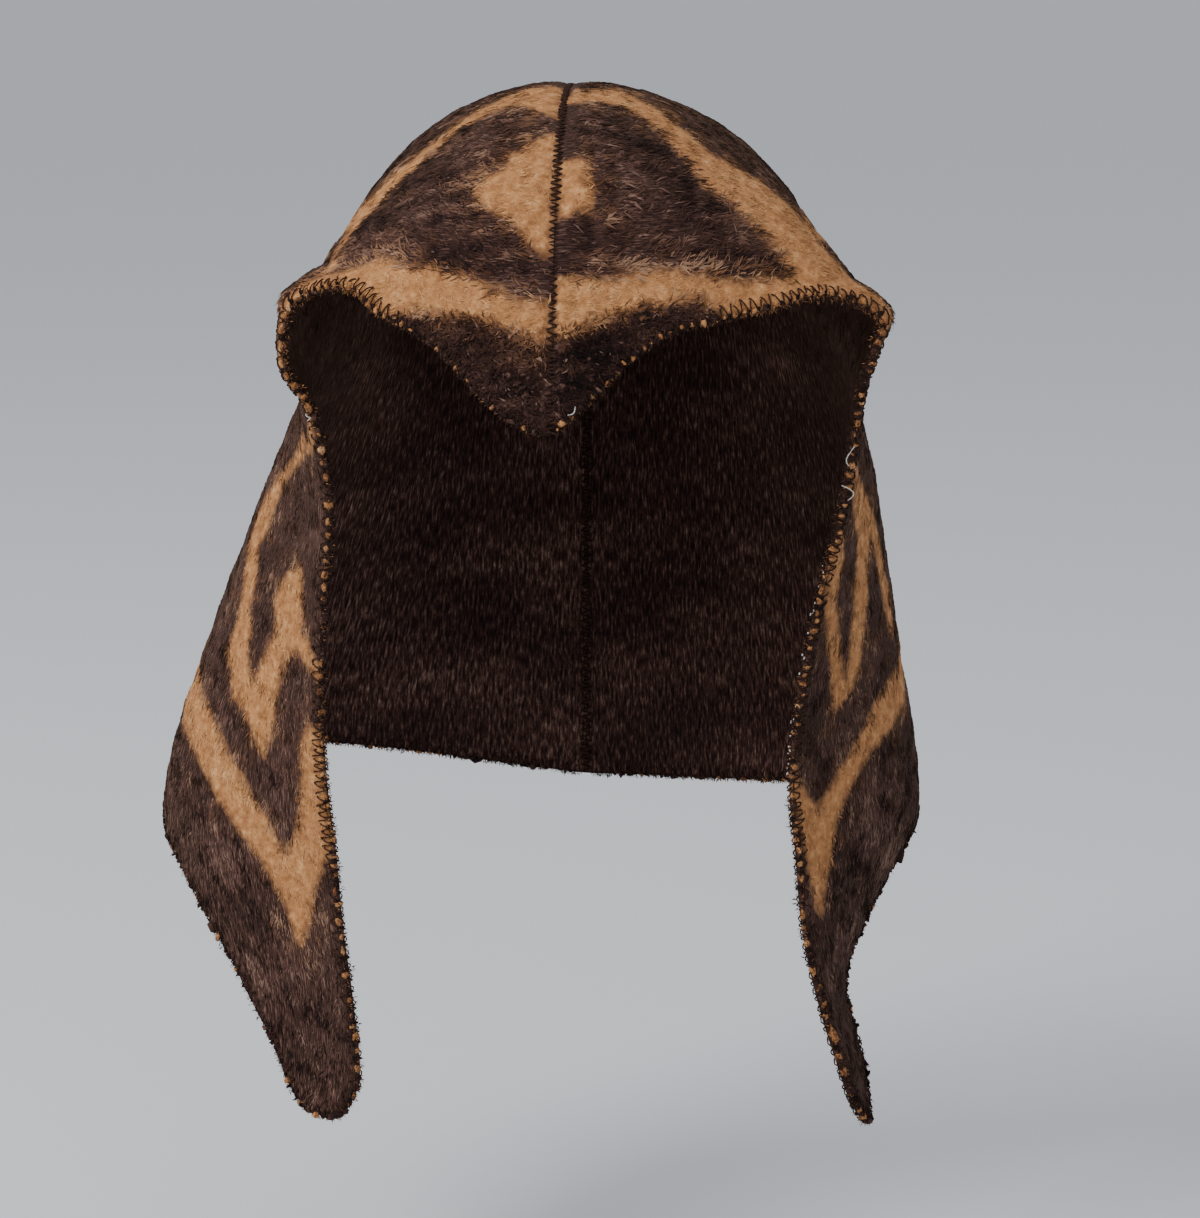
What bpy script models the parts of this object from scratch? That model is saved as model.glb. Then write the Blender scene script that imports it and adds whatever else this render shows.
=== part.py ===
"""Felt sauna hat with a pointed brow and two long ear lappets.

The hat is two felt panels, left and right, which meet edge to edge in the plane X = 0.
Each panel is cut from one piece of thick napped wool cloth: half of the domed crown, half of
the brow with its point, the side of the hood, half of the nape, and one lappet.

Frame: metres, +Z up, the wearer looks along -Y, and the origin is where the top of the head
meets the felt. Left is -X and right is +X, as seen by someone who faces the wearer.

The face of each panel that lies against the head is a sheet of points P(q, drop). drop is
the depth under the top of the head, and q runs round the head: 0 at the front seam, 1 at the
brow corner, 2 at the widest place beside the ear, and 3 at the back seam. At one depth, four
guide points and a smooth curve through them give the plan. The felt stands outside this face.
"""

import math

import bpy
import numpy as np

# The felt
FELT = 0.003  # thickness of the wool cloth
SEAM_GAP = 0.0003  # gap between the panels, which the seam thread closes
WOOL_BROWN = (0.060, 0.034, 0.026, 1.0)
WOOL_ROUGHNESS = 0.95
SHARP_ANGLE = math.radians(50)  # the cut edges are sharper than this, and the faces smoother

# The dome, which is part of an ellipsoid that fits a head of 58 cm
DOME_HEIGHT = 0.075  # from the top of the head down to its widest ring
DOME_FRONT = 0.101
DOME_BACK = 0.108
DOME_SIDE = {"left": 0.0755, "right": 0.084}
DOME_CORNER = {"left": (0.057, -0.067), "right": (0.065, -0.067)}  # under the brow corner
DOME_HEADING = 56.0  # degrees from straight outward, where the plan passes the brow corner

# The brow: the dome's lower edge stands out from the head at each corner, like an eave
CORNER = {"left": (0.086, -0.070), "right": (0.103, -0.070)}
CORNER_DROP = {"left": 0.068, "right": 0.0715}
FLARE_START = 0.42  # share of the dome's quarter turn at which the eave starts
FLARE_POWER = {"left": 2.0, "right": 1.6}  # how late it stands out: 1 is a straight ridge
MERGE_DEPTH = 0.012  # over this depth the dome turns into the sections below
POINT_LEAN = 0.010  # how far the brow point leans forward, from this depth down
POINT_START = 0.050
POINT_DEPTH = 0.055

# The plan curve leaves each guide point with a pull, as a share of the chord to the next one
FRONT_PULL = 1.15
CORNER_PULL = 1.15
WIDE_PULL = 1.03
EAVE_PULL = 0.55  # at the brow corner and below, where the felt is folded more sharply
NAPE_PULL = 1.20

# Grid: columns in each of the three stretches round the head, and rows down the panel
BROW_COLUMNS = 14
LAPPET_COLUMNS = 14
BACK_COLUMNS = 12
CROWN_ROWS = 12
SKIRT_ROWS = 18

# Plan sections from the brow corner down, one row each, in metres and degrees.
# drop: depth under the top of the head; edge_x, edge_y: the lappet's front edge;
# wide, wide_y: the widest place; back: the nape's distance behind the axis;
# heading: how the felt leaves the front edge, in degrees from straight outward
SECTION_COLUMNS = ("drop", "edge_x", "edge_y", "wide", "wide_y", "back", "heading")
SECTIONS = {
    "left": (
        (0.068, 0.0860, -0.070, 0.0755, 0.000, 0.108, 56),
        (0.079, 0.0875, -0.072, 0.0790, 0.002, 0.109, 66),
        (0.088, 0.0865, -0.071, 0.0820, 0.004, 0.110, 72),
        (0.097, 0.0805, -0.069, 0.0855, 0.006, 0.110, 70),
        (0.107, 0.0775, -0.067, 0.0905, 0.008, 0.110, 66),
        (0.130, 0.0745, -0.062, 0.1010, 0.012, 0.109, 60),
        (0.165, 0.0770, -0.058, 0.1150, 0.016, 0.107, 54),
        (0.200, 0.0790, -0.054, 0.1285, 0.020, 0.105, 48),
        (0.230, 0.0780, -0.052, 0.1390, 0.024, 0.105, 44),
        (0.250, 0.0760, -0.050, 0.1430, 0.026, 0.106, 42),
        (0.280, 0.0740, -0.049, 0.1400, 0.024, 0.106, 40),
        (0.305, 0.0710, -0.048, 0.1340, 0.018, 0.106, 40),
        (0.330, 0.0690, -0.046, 0.1290, 0.012, 0.106, 40),
        (0.360, 0.0740, -0.044, 0.1240, 0.008, 0.106, 42),
    ),
    "right": (
        (0.0715, 0.103, -0.070, 0.0840, 0.000, 0.108, 56),
        (0.080, 0.100, -0.072, 0.0865, 0.002, 0.109, 70),
        (0.093, 0.096, -0.070, 0.0905, 0.004, 0.110, 78),
        (0.107, 0.094, -0.067, 0.0950, 0.008, 0.110, 76),
        (0.130, 0.091, -0.062, 0.1010, 0.012, 0.109, 70),
        (0.165, 0.083, -0.058, 0.1065, 0.016, 0.107, 64),
        (0.200, 0.077, -0.054, 0.1120, 0.020, 0.105, 58),
        (0.230, 0.075, -0.052, 0.1170, 0.024, 0.105, 54),
        (0.250, 0.077, -0.050, 0.1185, 0.026, 0.106, 54),
        (0.280, 0.080, -0.049, 0.1080, 0.026, 0.106, 62),
        (0.305, 0.086, -0.050, 0.0970, 0.024, 0.106, 74),
        (0.330, 0.094, -0.050, 0.1065, 0.020, 0.106, 78),
        (0.360, 0.103, -0.048, 0.1145, 0.014, 0.106, 80),
    ),
}

# The cut edge of each panel, as q (place round the head) and depth under the top of the head.
# The brow's edge runs from the point to the corner.
BROW_EDGE = {
    "left": (
        (0.00, 0.1037),
        (0.11, 0.0995),
        (0.18, 0.0935),
        (0.26, 0.0838),
        (0.34, 0.0762),
        (0.42, 0.0718),
        (0.52, 0.0676),
        (0.62, 0.0636),
        (0.72, 0.0615),
        (0.88, 0.0630),
        (1.00, 0.0680),
    ),
    "right": (
        (0.00, 0.1037),
        (0.06, 0.0970),
        (0.12, 0.0895),
        (0.19, 0.0805),
        (0.26, 0.0740),
        (0.42, 0.0685),
        (0.60, 0.0655),
        (0.75, 0.0635),
        (0.88, 0.0645),
        (1.00, 0.0715),
    ),
}
# The hem runs from the lappet's front edge round its tip and along the nape to the seam.
HEM_EDGE = {
    "left": (
        (1.00, 0.334),
        (1.10, 0.345),
        (1.22, 0.347),
        (1.36, 0.342),
        (1.52, 0.312),
        (1.66, 0.285),
        (1.80, 0.267),
        (1.93, 0.259),
        (2.05, 0.246),
        (2.25, 0.238),
        (2.50, 0.243),
        (3.00, 0.257),
    ),
    "right": (
        (1.00, 0.333),
        (1.12, 0.343),
        (1.26, 0.346),
        (1.40, 0.331),
        (1.54, 0.300),
        (1.68, 0.277),
        (1.82, 0.262),
        (1.94, 0.257),
        (2.05, 0.252),
        (2.25, 0.250),
        (2.50, 0.255),
        (3.00, 0.257),
    ),
}

# Soft waves that the felt takes as it hangs, one row each.
# q, drop: where the wave is highest; reach_q, reach_drop: where it has mostly died away;
# height: how far it stands out, or in where it is negative
FOLDS = {
    "left": (
        (0.50, 0.036, 0.30, 0.018, 0.0015),
        (1.45, 0.140, 0.30, 0.030, -0.0020),
        (1.30, 0.290, 0.25, 0.030, -0.0025),
        (2.45, 0.205, 0.20, 0.050, 0.0035),
        (2.78, 0.235, 0.14, 0.045, -0.0030),
    ),
    "right": (
        (0.55, 0.034, 0.30, 0.018, 0.0012),
        (1.50, 0.135, 0.30, 0.030, -0.0020),
        (2.40, 0.215, 0.18, 0.050, 0.0030),
        (2.75, 0.225, 0.16, 0.045, -0.0035),
    ),
}


def smooth_curve(at, knots, values):
    """Cubic curve through the knots, with the slope at each knot from its two neighbours."""
    at, knots, values = (np.asarray(a, float) for a in (at, knots, values))
    slope = np.gradient(values, knots)
    i = np.clip(np.searchsorted(knots, at, side="right") - 1, 0, len(knots) - 2)
    width = knots[i + 1] - knots[i]
    t = np.clip((at - knots[i]) / width, 0.0, 1.0)
    start = values[i] * (1 + 2 * t) * (1 - t) ** 2 + slope[i] * width * t * (1 - t) ** 2
    end = values[i + 1] * t**2 * (3 - 2 * t) + slope[i + 1] * width * t**2 * (t - 1)
    return start + end


def smooth_step(t):
    """0 below 0 and 1 above 1, with level ends."""
    t = np.clip(t, 0.0, 1.0)
    return t * t * (3 - 2 * t)


def arc(start, start_tangent, end, end_tangent, t):
    """Hermite curve in plan from start to end. Each argument but t is an (x, y) pair."""
    weights = (
        (1 + 2 * t) * (1 - t) ** 2,
        t * (1 - t) ** 2,
        t**2 * (3 - 2 * t),
        t**2 * (t - 1),
    )
    pairs = (start, start_tangent, end, end_tangent)
    return [sum(w * pair[axis] for w, pair in zip(weights, pairs)) for axis in (0, 1)]


def section_at(side, drop):
    """The guide points of the plan at each depth, and how the felt heads at the corner."""
    table = dict(zip(SECTION_COLUMNS, np.array(SECTIONS[side]).T))
    below = {
        name: smooth_curve(drop, table["drop"], table[name])
        for name in SECTION_COLUMNS[1:]
    }
    turn = np.arccos(1 - np.clip(drop / DOME_HEIGHT, 0.0, 1.0))
    reach = np.sin(turn)
    share = turn / (math.pi / 2)
    flare = np.clip((share - FLARE_START) / (1 - FLARE_START), 0.0, 1.0)
    flare = flare ** FLARE_POWER[side]
    merge = smooth_step((drop - CORNER_DROP[side]) / MERGE_DEPTH + 1)

    dome_x, dome_y = DOME_CORNER[side]
    dome = {
        "edge_x": dome_x * reach + (CORNER[side][0] - dome_x) * flare,
        "edge_y": dome_y * reach + (CORNER[side][1] - dome_y) * flare,
        "wide": DOME_SIDE[side] * reach,
        "wide_y": 0.0,
        "back": DOME_BACK * reach,
        "heading": DOME_HEADING,
    }
    section = {name: dome[name] * (1 - merge) + below[name] * merge for name in dome}
    lean = POINT_LEAN * smooth_step((drop - POINT_START) / POINT_DEPTH)
    section["front"] = DOME_FRONT * reach + lean
    section["corner_pull"] = CORNER_PULL + (EAVE_PULL - CORNER_PULL) * flare
    return section


def fold_height(side, q, drop):
    """How far the soft waves move the felt away from the axis, each as a smooth hill."""
    total = 0.0
    for fold_q, fold_drop, reach_q, reach_drop, height in FOLDS[side]:
        away = ((q - fold_q) / reach_q) ** 2 + ((drop - fold_drop) / reach_drop) ** 2
        total = total + height * np.exp(-away)
    return total


def head_point(side, q, drop):
    """Points of the face against the head, as an array of (x, y, z), for arrays q and drop."""
    at = section_at(side, drop)
    front = (0.0, -at["front"])
    corner = (at["edge_x"], at["edge_y"])
    widest = (at["wide"], at["wide_y"])
    nape = (0.0, at["back"])
    heading = np.radians(at["heading"])

    def leave(start, end, angle, pull):
        """The tangent at one end of a stretch: its direction, as long as the chord x pull."""
        length = pull * np.hypot(end[0] - start[0], end[1] - start[1])
        return length * np.cos(angle), length * np.sin(angle)

    stretches = (
        arc(
            front,
            leave(front, corner, 0.0, FRONT_PULL),
            corner,
            leave(front, corner, heading, at["corner_pull"]),
            np.clip(q, 0.0, 1.0),
        ),
        arc(
            corner,
            leave(corner, widest, heading, at["corner_pull"]),
            widest,
            leave(corner, widest, math.pi / 2, WIDE_PULL),
            np.clip(q - 1.0, 0.0, 1.0),
        ),
        arc(
            widest,
            leave(widest, nape, math.pi / 2, NAPE_PULL),
            nape,
            leave(widest, nape, math.pi, NAPE_PULL),
            np.clip(q - 2.0, 0.0, 1.0),
        ),
    )
    x, y = (
        np.where(q < 1.0, brow, np.where(q < 2.0, ear, back))
        for brow, ear, back in zip(*stretches)
    )
    outward = 1 + fold_height(side, q, drop) / np.maximum(np.hypot(x, y), FELT)
    hand = -1.0 if side == "left" else 1.0
    place = np.broadcast_arrays(hand * x * outward, y * outward, -drop)
    return np.stack(place, axis=-1)


def brow_drop(side, q):
    """Depth of the brow's cut edge. Behind the corner it keeps the corner's depth."""
    return smooth_curve(np.clip(q, 0.0, 1.0), *np.array(BROW_EDGE[side]).T)


def hem_drop(side, q):
    """Depth of the lower cut edge, round the lappet and along the nape."""
    return smooth_curve(q, *np.array(HEM_EDGE[side]).T)


def panel_grid(side):
    """(crown, skirt): two grids of points of the face against the head. The crown's first row
    is one point, its top. The skirt hangs from the crown's last row, from the corner back."""
    q = np.concatenate(
        [
            np.linspace(0, 1, BROW_COLUMNS + 1),
            np.linspace(1, 2, LAPPET_COLUMNS + 1)[1:],
            np.linspace(2, 3, BACK_COLUMNS + 1)[1:],
        ]
    )
    corner_turn = math.acos(1 - CORNER_DROP[side] / DOME_HEIGHT)
    turns = np.linspace(0, corner_turn, CROWN_ROWS + 1)
    shares = (1 - np.cos(turns)) / (1 - math.cos(corner_turn))
    crown = head_point(side, q[None, :], shares[:, None] * brow_drop(side, q)[None, :])

    hanging = q[BROW_COLUMNS:]
    steps = np.linspace(0, 1, SKIRT_ROWS + 1)[1:, None]
    top = CORNER_DROP[side]
    drops = top + steps * (hem_drop(side, hanging)[None, :] - top)
    skirt = head_point(side, hanging[None, :], drops)
    return crown, skirt


def panel_faces(crown, skirt):
    """(points, faces, rim, seam): the face against the head as one mesh that looks at the head,
    the loop of points round its cut edge, and the points that lie on the centre seam."""
    columns = crown.shape[1]
    hanging = skirt.shape[1]
    points = np.concatenate(
        [crown[0, :1], crown[1:].reshape(-1, 3), skirt.reshape(-1, 3)]
    )
    crown_ids = 1 + np.arange(CROWN_ROWS * columns).reshape(CROWN_ROWS, columns)
    skirt_ids = 1 + CROWN_ROWS * columns
    skirt_ids += np.arange(SKIRT_ROWS * hanging).reshape(SKIRT_ROWS, hanging)
    sheet_ids = np.vstack([crown_ids[-1, BROW_COLUMNS:], skirt_ids])

    fan = [(0, crown_ids[0, i], crown_ids[0, i + 1]) for i in range(columns - 1)]
    quads = []
    for ids in (crown_ids, sheet_ids):
        corners = (ids[:-1, :-1], ids[1:, :-1], ids[1:, 1:], ids[:-1, 1:])
        quads += np.stack(corners, axis=-1).reshape(-1, 4).tolist()

    front_seam = crown_ids[:, 0]
    back_seam = np.concatenate([crown_ids[:, -1], skirt_ids[:, -1]])
    rim = np.concatenate(
        [
            [0],
            front_seam,
            crown_ids[-1, 1 : BROW_COLUMNS + 1],
            skirt_ids[:, 0],
            skirt_ids[-1, 1:],
            back_seam[-2::-1],
        ]
    )
    seam = np.concatenate([[0], front_seam, back_seam])
    return points, fan + quads, rim, seam


def point_normals(points, faces, seam):
    """Unit normals at the points, from the faces round each, weighted by their size."""
    normals = np.zeros_like(points)
    for face in faces:
        a, b, c = points[face[0]], points[face[1]], points[face[2]]
        d = points[face[-1]]
        across = np.cross(b - a, c - a) + np.cross(c - a, d - a)
        for i in face:
            normals[i] += across
    # The seam stays in its plane through the whole thickness of the felt
    normals[seam, 0] = 0.0
    return normals / np.linalg.norm(normals, axis=1)[:, None]


def wool_material(side):
    """Thick napped wool, brown with tan bands: the brown covers most of it."""
    material = bpy.data.materials.new(f"napped_wool_{side}")
    material.use_nodes = True
    shader = material.node_tree.nodes["Principled BSDF"]
    shader.inputs["Base Color"].default_value = WOOL_BROWN
    shader.inputs["Roughness"].default_value = WOOL_ROUGHNESS
    shader.inputs["Metallic"].default_value = 0.0
    return material


def make_panel(side):
    """One felt panel: the face against the head, the outer face a felt's thickness away from
    it, and the cut edge that joins them."""
    points, faces, rim, seam = panel_faces(*panel_grid(side))
    if side == "right":
        faces = [tuple(reversed(face)) for face in faces]
        rim = rim[::-1]
    outer = points - FELT * point_normals(points, faces, seam)
    half_gap = SEAM_GAP / 2 * (-1 if side == "left" else 1)
    both = np.concatenate([points, outer]) + [half_gap, 0.0, 0.0]

    count = len(points)
    outside = [tuple(i + count for i in reversed(face)) for face in faces]
    following = np.roll(rim, -1)
    edge = [(a, a + count, b + count, b) for a, b in zip(rim, following)]
    every_face = [tuple(int(i) for i in face) for face in [*faces, *outside, *edge]]

    mesh = bpy.data.meshes.new(f"panel_{side}")
    mesh.from_pydata(both.tolist(), [], every_face)
    mesh.validate()
    mesh.shade_smooth()
    mesh.set_sharp_from_angle(angle=SHARP_ANGLE)
    mesh.materials.append(wool_material(side))
    panel = bpy.data.objects.new(f"panel_{side}", mesh)
    bpy.context.scene.collection.objects.link(panel)


def main():
    for existing in list(bpy.data.objects):
        bpy.data.objects.remove(existing, do_unlink=True)
    for side in ("left", "right"):
        make_panel(side)


main()
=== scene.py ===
# %% [markdown]
# # A felt sauna hat
#
# A sauna hat keeps the heat of the steam off the head. This one is cut from a thick woollen
# blanket: two mirror-cut panels meet in one seam from the brow point over the crown to the nape,
# and each panel runs down into a long ear lappet. The blanket is dark brown with tan lozenges,
# its nap is brushed up, and every cut edge is oversewn with dark wool.
#
# The lesson builds it the way it is made: first the cloth, then the pattern woven into it, the
# raised nap, the stitches round the edge, and last the seam. The shape is one function of two
# numbers, so every later step can ask it for a place on the cloth.

import math

import bpy
import numpy as np
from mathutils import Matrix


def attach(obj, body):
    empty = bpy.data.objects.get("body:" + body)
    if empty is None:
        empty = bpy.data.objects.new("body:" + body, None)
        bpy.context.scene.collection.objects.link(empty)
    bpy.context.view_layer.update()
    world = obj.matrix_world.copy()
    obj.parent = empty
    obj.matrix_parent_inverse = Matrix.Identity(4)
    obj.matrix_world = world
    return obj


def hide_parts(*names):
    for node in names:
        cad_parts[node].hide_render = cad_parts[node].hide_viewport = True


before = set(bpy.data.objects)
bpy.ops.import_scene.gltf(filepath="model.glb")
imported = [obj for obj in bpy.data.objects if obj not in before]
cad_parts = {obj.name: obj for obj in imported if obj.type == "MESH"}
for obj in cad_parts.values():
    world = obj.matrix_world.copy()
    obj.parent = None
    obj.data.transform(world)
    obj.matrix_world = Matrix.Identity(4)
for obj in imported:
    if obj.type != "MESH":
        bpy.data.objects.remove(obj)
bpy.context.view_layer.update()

# %% [markdown]
# ## The camera
#
# A long lens, about 1.3 m in front of the hat, looks slightly down on it, as a person at a table
# would take its picture. The frame is nearly square, so the sensor size counts for its height.

# %% Set the camera
LENS = 113.0  # mm
SENSOR = 36.0  # mm high
CAMERA_PLACE = (0.0713, -1.2981, 0.0382)
CAMERA_TURN = (80.6, 0.0, 2.7)  # degrees

camera = bpy.data.objects.new("camera", bpy.data.cameras.new("camera"))
camera.data.lens = LENS
camera.data.sensor_fit = "VERTICAL"
camera.data.sensor_height = SENSOR
camera.location = CAMERA_PLACE
camera.rotation_euler = [math.radians(angle) for angle in CAMERA_TURN]
bpy.context.scene.collection.objects.link(camera)
bpy.context.scene.camera = camera
print("camera lens", LENS, "mm")

# %% [markdown]
# ## The form of the cloth
#
# Felted blanket cloth has no fine folds: it bends in large, calm curves. The face that lies
# against the head is described by points P(q, drop). drop is the depth under the top of the
# head. q runs round the head: 0 at the front seam, 1 at the brow corner, 2 beside the ear and 3
# at the back seam. At one depth, four guide points and a smooth curve through them give the
# plan, so a whole grid of points is worked out at once.

# %% Sizes of the hat, in metres
MM = 1000  # in a metre
FELT = 0.003  # thickness of the cloth
SIDES = ("left", "right")
HAND = {"left": -1.0, "right": 1.0}  # left is -X, seen from the front

DOME_HEIGHT = 0.075
DOME_FRONT = 0.101
DOME_BACK = 0.108
DOME_SIDE = {"left": 0.0755, "right": 0.084}
DOME_CORNER = {"left": (0.057, -0.067), "right": (0.065, -0.067)}  # before it flares
DOME_HEADING = 56.0  # degrees by which the plan turns to the back at the brow corner
CORNER = {"left": (0.086, -0.070), "right": (0.103, -0.070)}  # the brow corner, flared
CORNER_DROP = {"left": 0.068, "right": 0.0715}
FLARE_START = 0.42  # share of the dome's quarter turn from which the corner flares out
FLARE_POWER = {"left": 2.0, "right": 1.6}
MERGE_DEPTH = 0.012  # over which the dome gives way to the table of sections
POINT_LEAN = 0.010  # how far forward the brow point leans
POINT_START = 0.050  # depth at which it starts to lean
POINT_DEPTH = 0.055  # depth over which the lean grows
# Lengths of the tangents at the guide points, as shares of the chord
FRONT_PULL = 1.15
CORNER_PULL = 1.15
WIDE_PULL = 1.03
EAVE_PULL = 0.55
NAPE_PULL = 1.20
print("cloth", FELT * MM, "mm thick, dome", DOME_HEIGHT * MM, "mm high")

# %% Plan sections below the brow corner, one row each, with the heading in degrees
SECTION_COLUMNS = ("drop", "edge_x", "edge_y", "wide", "wide_y", "back", "heading")
SECTIONS = {
    "left": (
        (0.068, 0.0860, -0.070, 0.0755, 0.000, 0.108, 56),
        (0.079, 0.0875, -0.072, 0.0790, 0.002, 0.109, 66),
        (0.088, 0.0865, -0.071, 0.0820, 0.004, 0.110, 72),
        (0.097, 0.0805, -0.069, 0.0855, 0.006, 0.110, 70),
        (0.107, 0.0775, -0.067, 0.0905, 0.008, 0.110, 66),
        (0.130, 0.0745, -0.062, 0.1010, 0.012, 0.109, 60),
        (0.165, 0.0770, -0.058, 0.1150, 0.016, 0.107, 54),
        (0.200, 0.0790, -0.054, 0.1285, 0.020, 0.105, 48),
        (0.230, 0.0780, -0.052, 0.1390, 0.024, 0.105, 44),
        (0.250, 0.0760, -0.050, 0.1430, 0.026, 0.106, 42),
        (0.280, 0.0740, -0.049, 0.1400, 0.024, 0.106, 40),
        (0.305, 0.0710, -0.048, 0.1340, 0.018, 0.106, 40),
        (0.330, 0.0690, -0.046, 0.1290, 0.012, 0.106, 40),
        (0.360, 0.0740, -0.044, 0.1240, 0.008, 0.106, 42),
    ),
    "right": (
        (0.0715, 0.103, -0.070, 0.0840, 0.000, 0.108, 56),
        (0.080, 0.100, -0.072, 0.0865, 0.002, 0.109, 70),
        (0.093, 0.096, -0.070, 0.0905, 0.004, 0.110, 78),
        (0.107, 0.094, -0.067, 0.0950, 0.008, 0.110, 76),
        (0.130, 0.091, -0.062, 0.1010, 0.012, 0.109, 70),
        (0.165, 0.083, -0.058, 0.1065, 0.016, 0.107, 64),
        (0.200, 0.077, -0.054, 0.1120, 0.020, 0.105, 58),
        (0.230, 0.075, -0.052, 0.1170, 0.024, 0.105, 54),
        (0.250, 0.077, -0.050, 0.1185, 0.026, 0.106, 54),
        (0.280, 0.080, -0.049, 0.1080, 0.026, 0.106, 62),
        (0.305, 0.086, -0.050, 0.0970, 0.024, 0.106, 74),
        (0.330, 0.094, -0.050, 0.1065, 0.020, 0.106, 78),
        (0.360, 0.103, -0.048, 0.1145, 0.014, 0.106, 80),
    ),
}
print("sections:", {side: len(rows) for side, rows in SECTIONS.items()})

# %% The cut edges, as (q, drop), and the soft waves of the hanging cloth
BROW_EDGE = {
    "left": (
        (0.00, 0.1037), (0.11, 0.0995), (0.18, 0.0935), (0.26, 0.0838), (0.34, 0.0762),
        (0.42, 0.0718), (0.52, 0.0676), (0.62, 0.0636), (0.72, 0.0615), (0.88, 0.0630),
        (1.00, 0.0680),
    ),
    "right": (
        (0.00, 0.1037), (0.06, 0.0970), (0.12, 0.0895), (0.19, 0.0805), (0.26, 0.0740),
        (0.42, 0.0685), (0.60, 0.0655), (0.75, 0.0635), (0.88, 0.0645), (1.00, 0.0715),
    ),
}
HEM_EDGE = {
    "left": (
        (1.00, 0.334), (1.10, 0.345), (1.22, 0.347), (1.36, 0.342), (1.52, 0.312),
        (1.66, 0.285), (1.80, 0.267), (1.93, 0.259), (2.05, 0.246), (2.25, 0.238),
        (2.50, 0.243), (3.00, 0.257),
    ),
    "right": (
        (1.00, 0.333), (1.12, 0.343), (1.26, 0.346), (1.40, 0.331), (1.54, 0.300),
        (1.68, 0.277), (1.82, 0.262), (1.94, 0.257), (2.05, 0.252), (2.25, 0.250),
        (2.50, 0.255), (3.00, 0.257),
    ),
}
FOLDS = {  # q and drop of the middle, reach in q and in drop, height
    "left": (
        (0.50, 0.036, 0.30, 0.018, 0.0015),
        (1.45, 0.140, 0.30, 0.030, -0.0020),
        (1.30, 0.290, 0.25, 0.030, -0.0025),
        (2.45, 0.205, 0.20, 0.050, 0.0035),
        (2.78, 0.235, 0.14, 0.045, -0.0030),
    ),
    "right": (
        (0.55, 0.034, 0.30, 0.018, 0.0012),
        (1.50, 0.135, 0.30, 0.030, -0.0020),
        (2.40, 0.215, 0.18, 0.050, 0.0030),
        (2.75, 0.225, 0.16, 0.045, -0.0035),
    ),
}
print("waves:", {side: len(rows) for side, rows in FOLDS.items()})


# %% Curves through the tables
def smooth_curve(at, knots, values):
    """Cubic curve through the knots; the slope at a knot is that between its neighbours."""
    at, knots, values = (np.asarray(a, float) for a in (at, knots, values))
    slope = np.gradient(values, knots)
    i = np.clip(np.searchsorted(knots, at, side="right") - 1, 0, len(knots) - 2)
    width = knots[i + 1] - knots[i]
    t = np.clip((at - knots[i]) / width, 0.0, 1.0)
    start = values[i] * (1 + 2 * t) * (1 - t) ** 2 + slope[i] * width * t * (1 - t) ** 2
    end = values[i + 1] * t**2 * (3 - 2 * t) + slope[i + 1] * width * t**2 * (t - 1)
    return start + end


def smooth_step(t):
    """3 t squared less 2 t cubed, held at 0 below 0 and at 1 above 1."""
    t = np.clip(t, 0.0, 1.0)
    return t * t * (3 - 2 * t)


def arc(start, start_tangent, end, end_tangent, t):
    """Hermite curve in plan: each end and its tangent, times its cubic in t, added up."""
    weights = (
        (1 + 2 * t) * (1 - t) ** 2,
        t * (1 - t) ** 2,
        t**2 * (3 - 2 * t),
        t**2 * (t - 1),
    )
    pairs = (start, start_tangent, end, end_tangent)
    return [sum(w * pair[axis] for w, pair in zip(weights, pairs)) for axis in (0, 1)]


print("a smooth step at a quarter and at half way:", smooth_step(np.array([0.25, 0.5])))


# %% Guide points at each depth
def section_at(side, drop):
    """The dome is a quarter turn of an ellipsoid; under it the table's rows take over."""
    table = dict(zip(SECTION_COLUMNS, np.array(SECTIONS[side]).T))
    below = {n: smooth_curve(drop, table["drop"], table[n]) for n in SECTION_COLUMNS[1:]}
    turn = np.arccos(1 - np.clip(drop / DOME_HEIGHT, 0.0, 1.0))
    reach = np.sin(turn)
    share = turn / (math.pi / 2)
    flare = np.clip((share - FLARE_START) / (1 - FLARE_START), 0.0, 1.0) ** FLARE_POWER[side]
    merge = smooth_step((drop - CORNER_DROP[side]) / MERGE_DEPTH + 1)

    dome_x, dome_y = DOME_CORNER[side]
    dome = {
        "edge_x": dome_x * reach + (CORNER[side][0] - dome_x) * flare,
        "edge_y": dome_y * reach + (CORNER[side][1] - dome_y) * flare,
        "wide": DOME_SIDE[side] * reach,
        "wide_y": 0.0,
        "back": DOME_BACK * reach,
        "heading": DOME_HEADING,
    }
    section = {name: dome[name] * (1 - merge) + below[name] * merge for name in dome}
    lean = POINT_LEAN * smooth_step((drop - POINT_START) / POINT_DEPTH)
    section["front"] = DOME_FRONT * reach + lean
    section["corner_pull"] = CORNER_PULL + (EAVE_PULL - CORNER_PULL) * flare
    return section


print("half width on the left, 20 cm down:", round(float(section_at("left", 0.20)["wide"]), 4))


# %% Points of the cloth
def fold_height(side, q, drop):
    """Each wave is its height times e to the minus squared distance from its middle."""
    total = 0.0
    for fold_q, fold_drop, reach_q, reach_drop, height in FOLDS[side]:
        away = ((q - fold_q) / reach_q) ** 2 + ((drop - fold_drop) / reach_drop) ** 2
        total = total + height * np.exp(-away)
    return total


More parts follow.
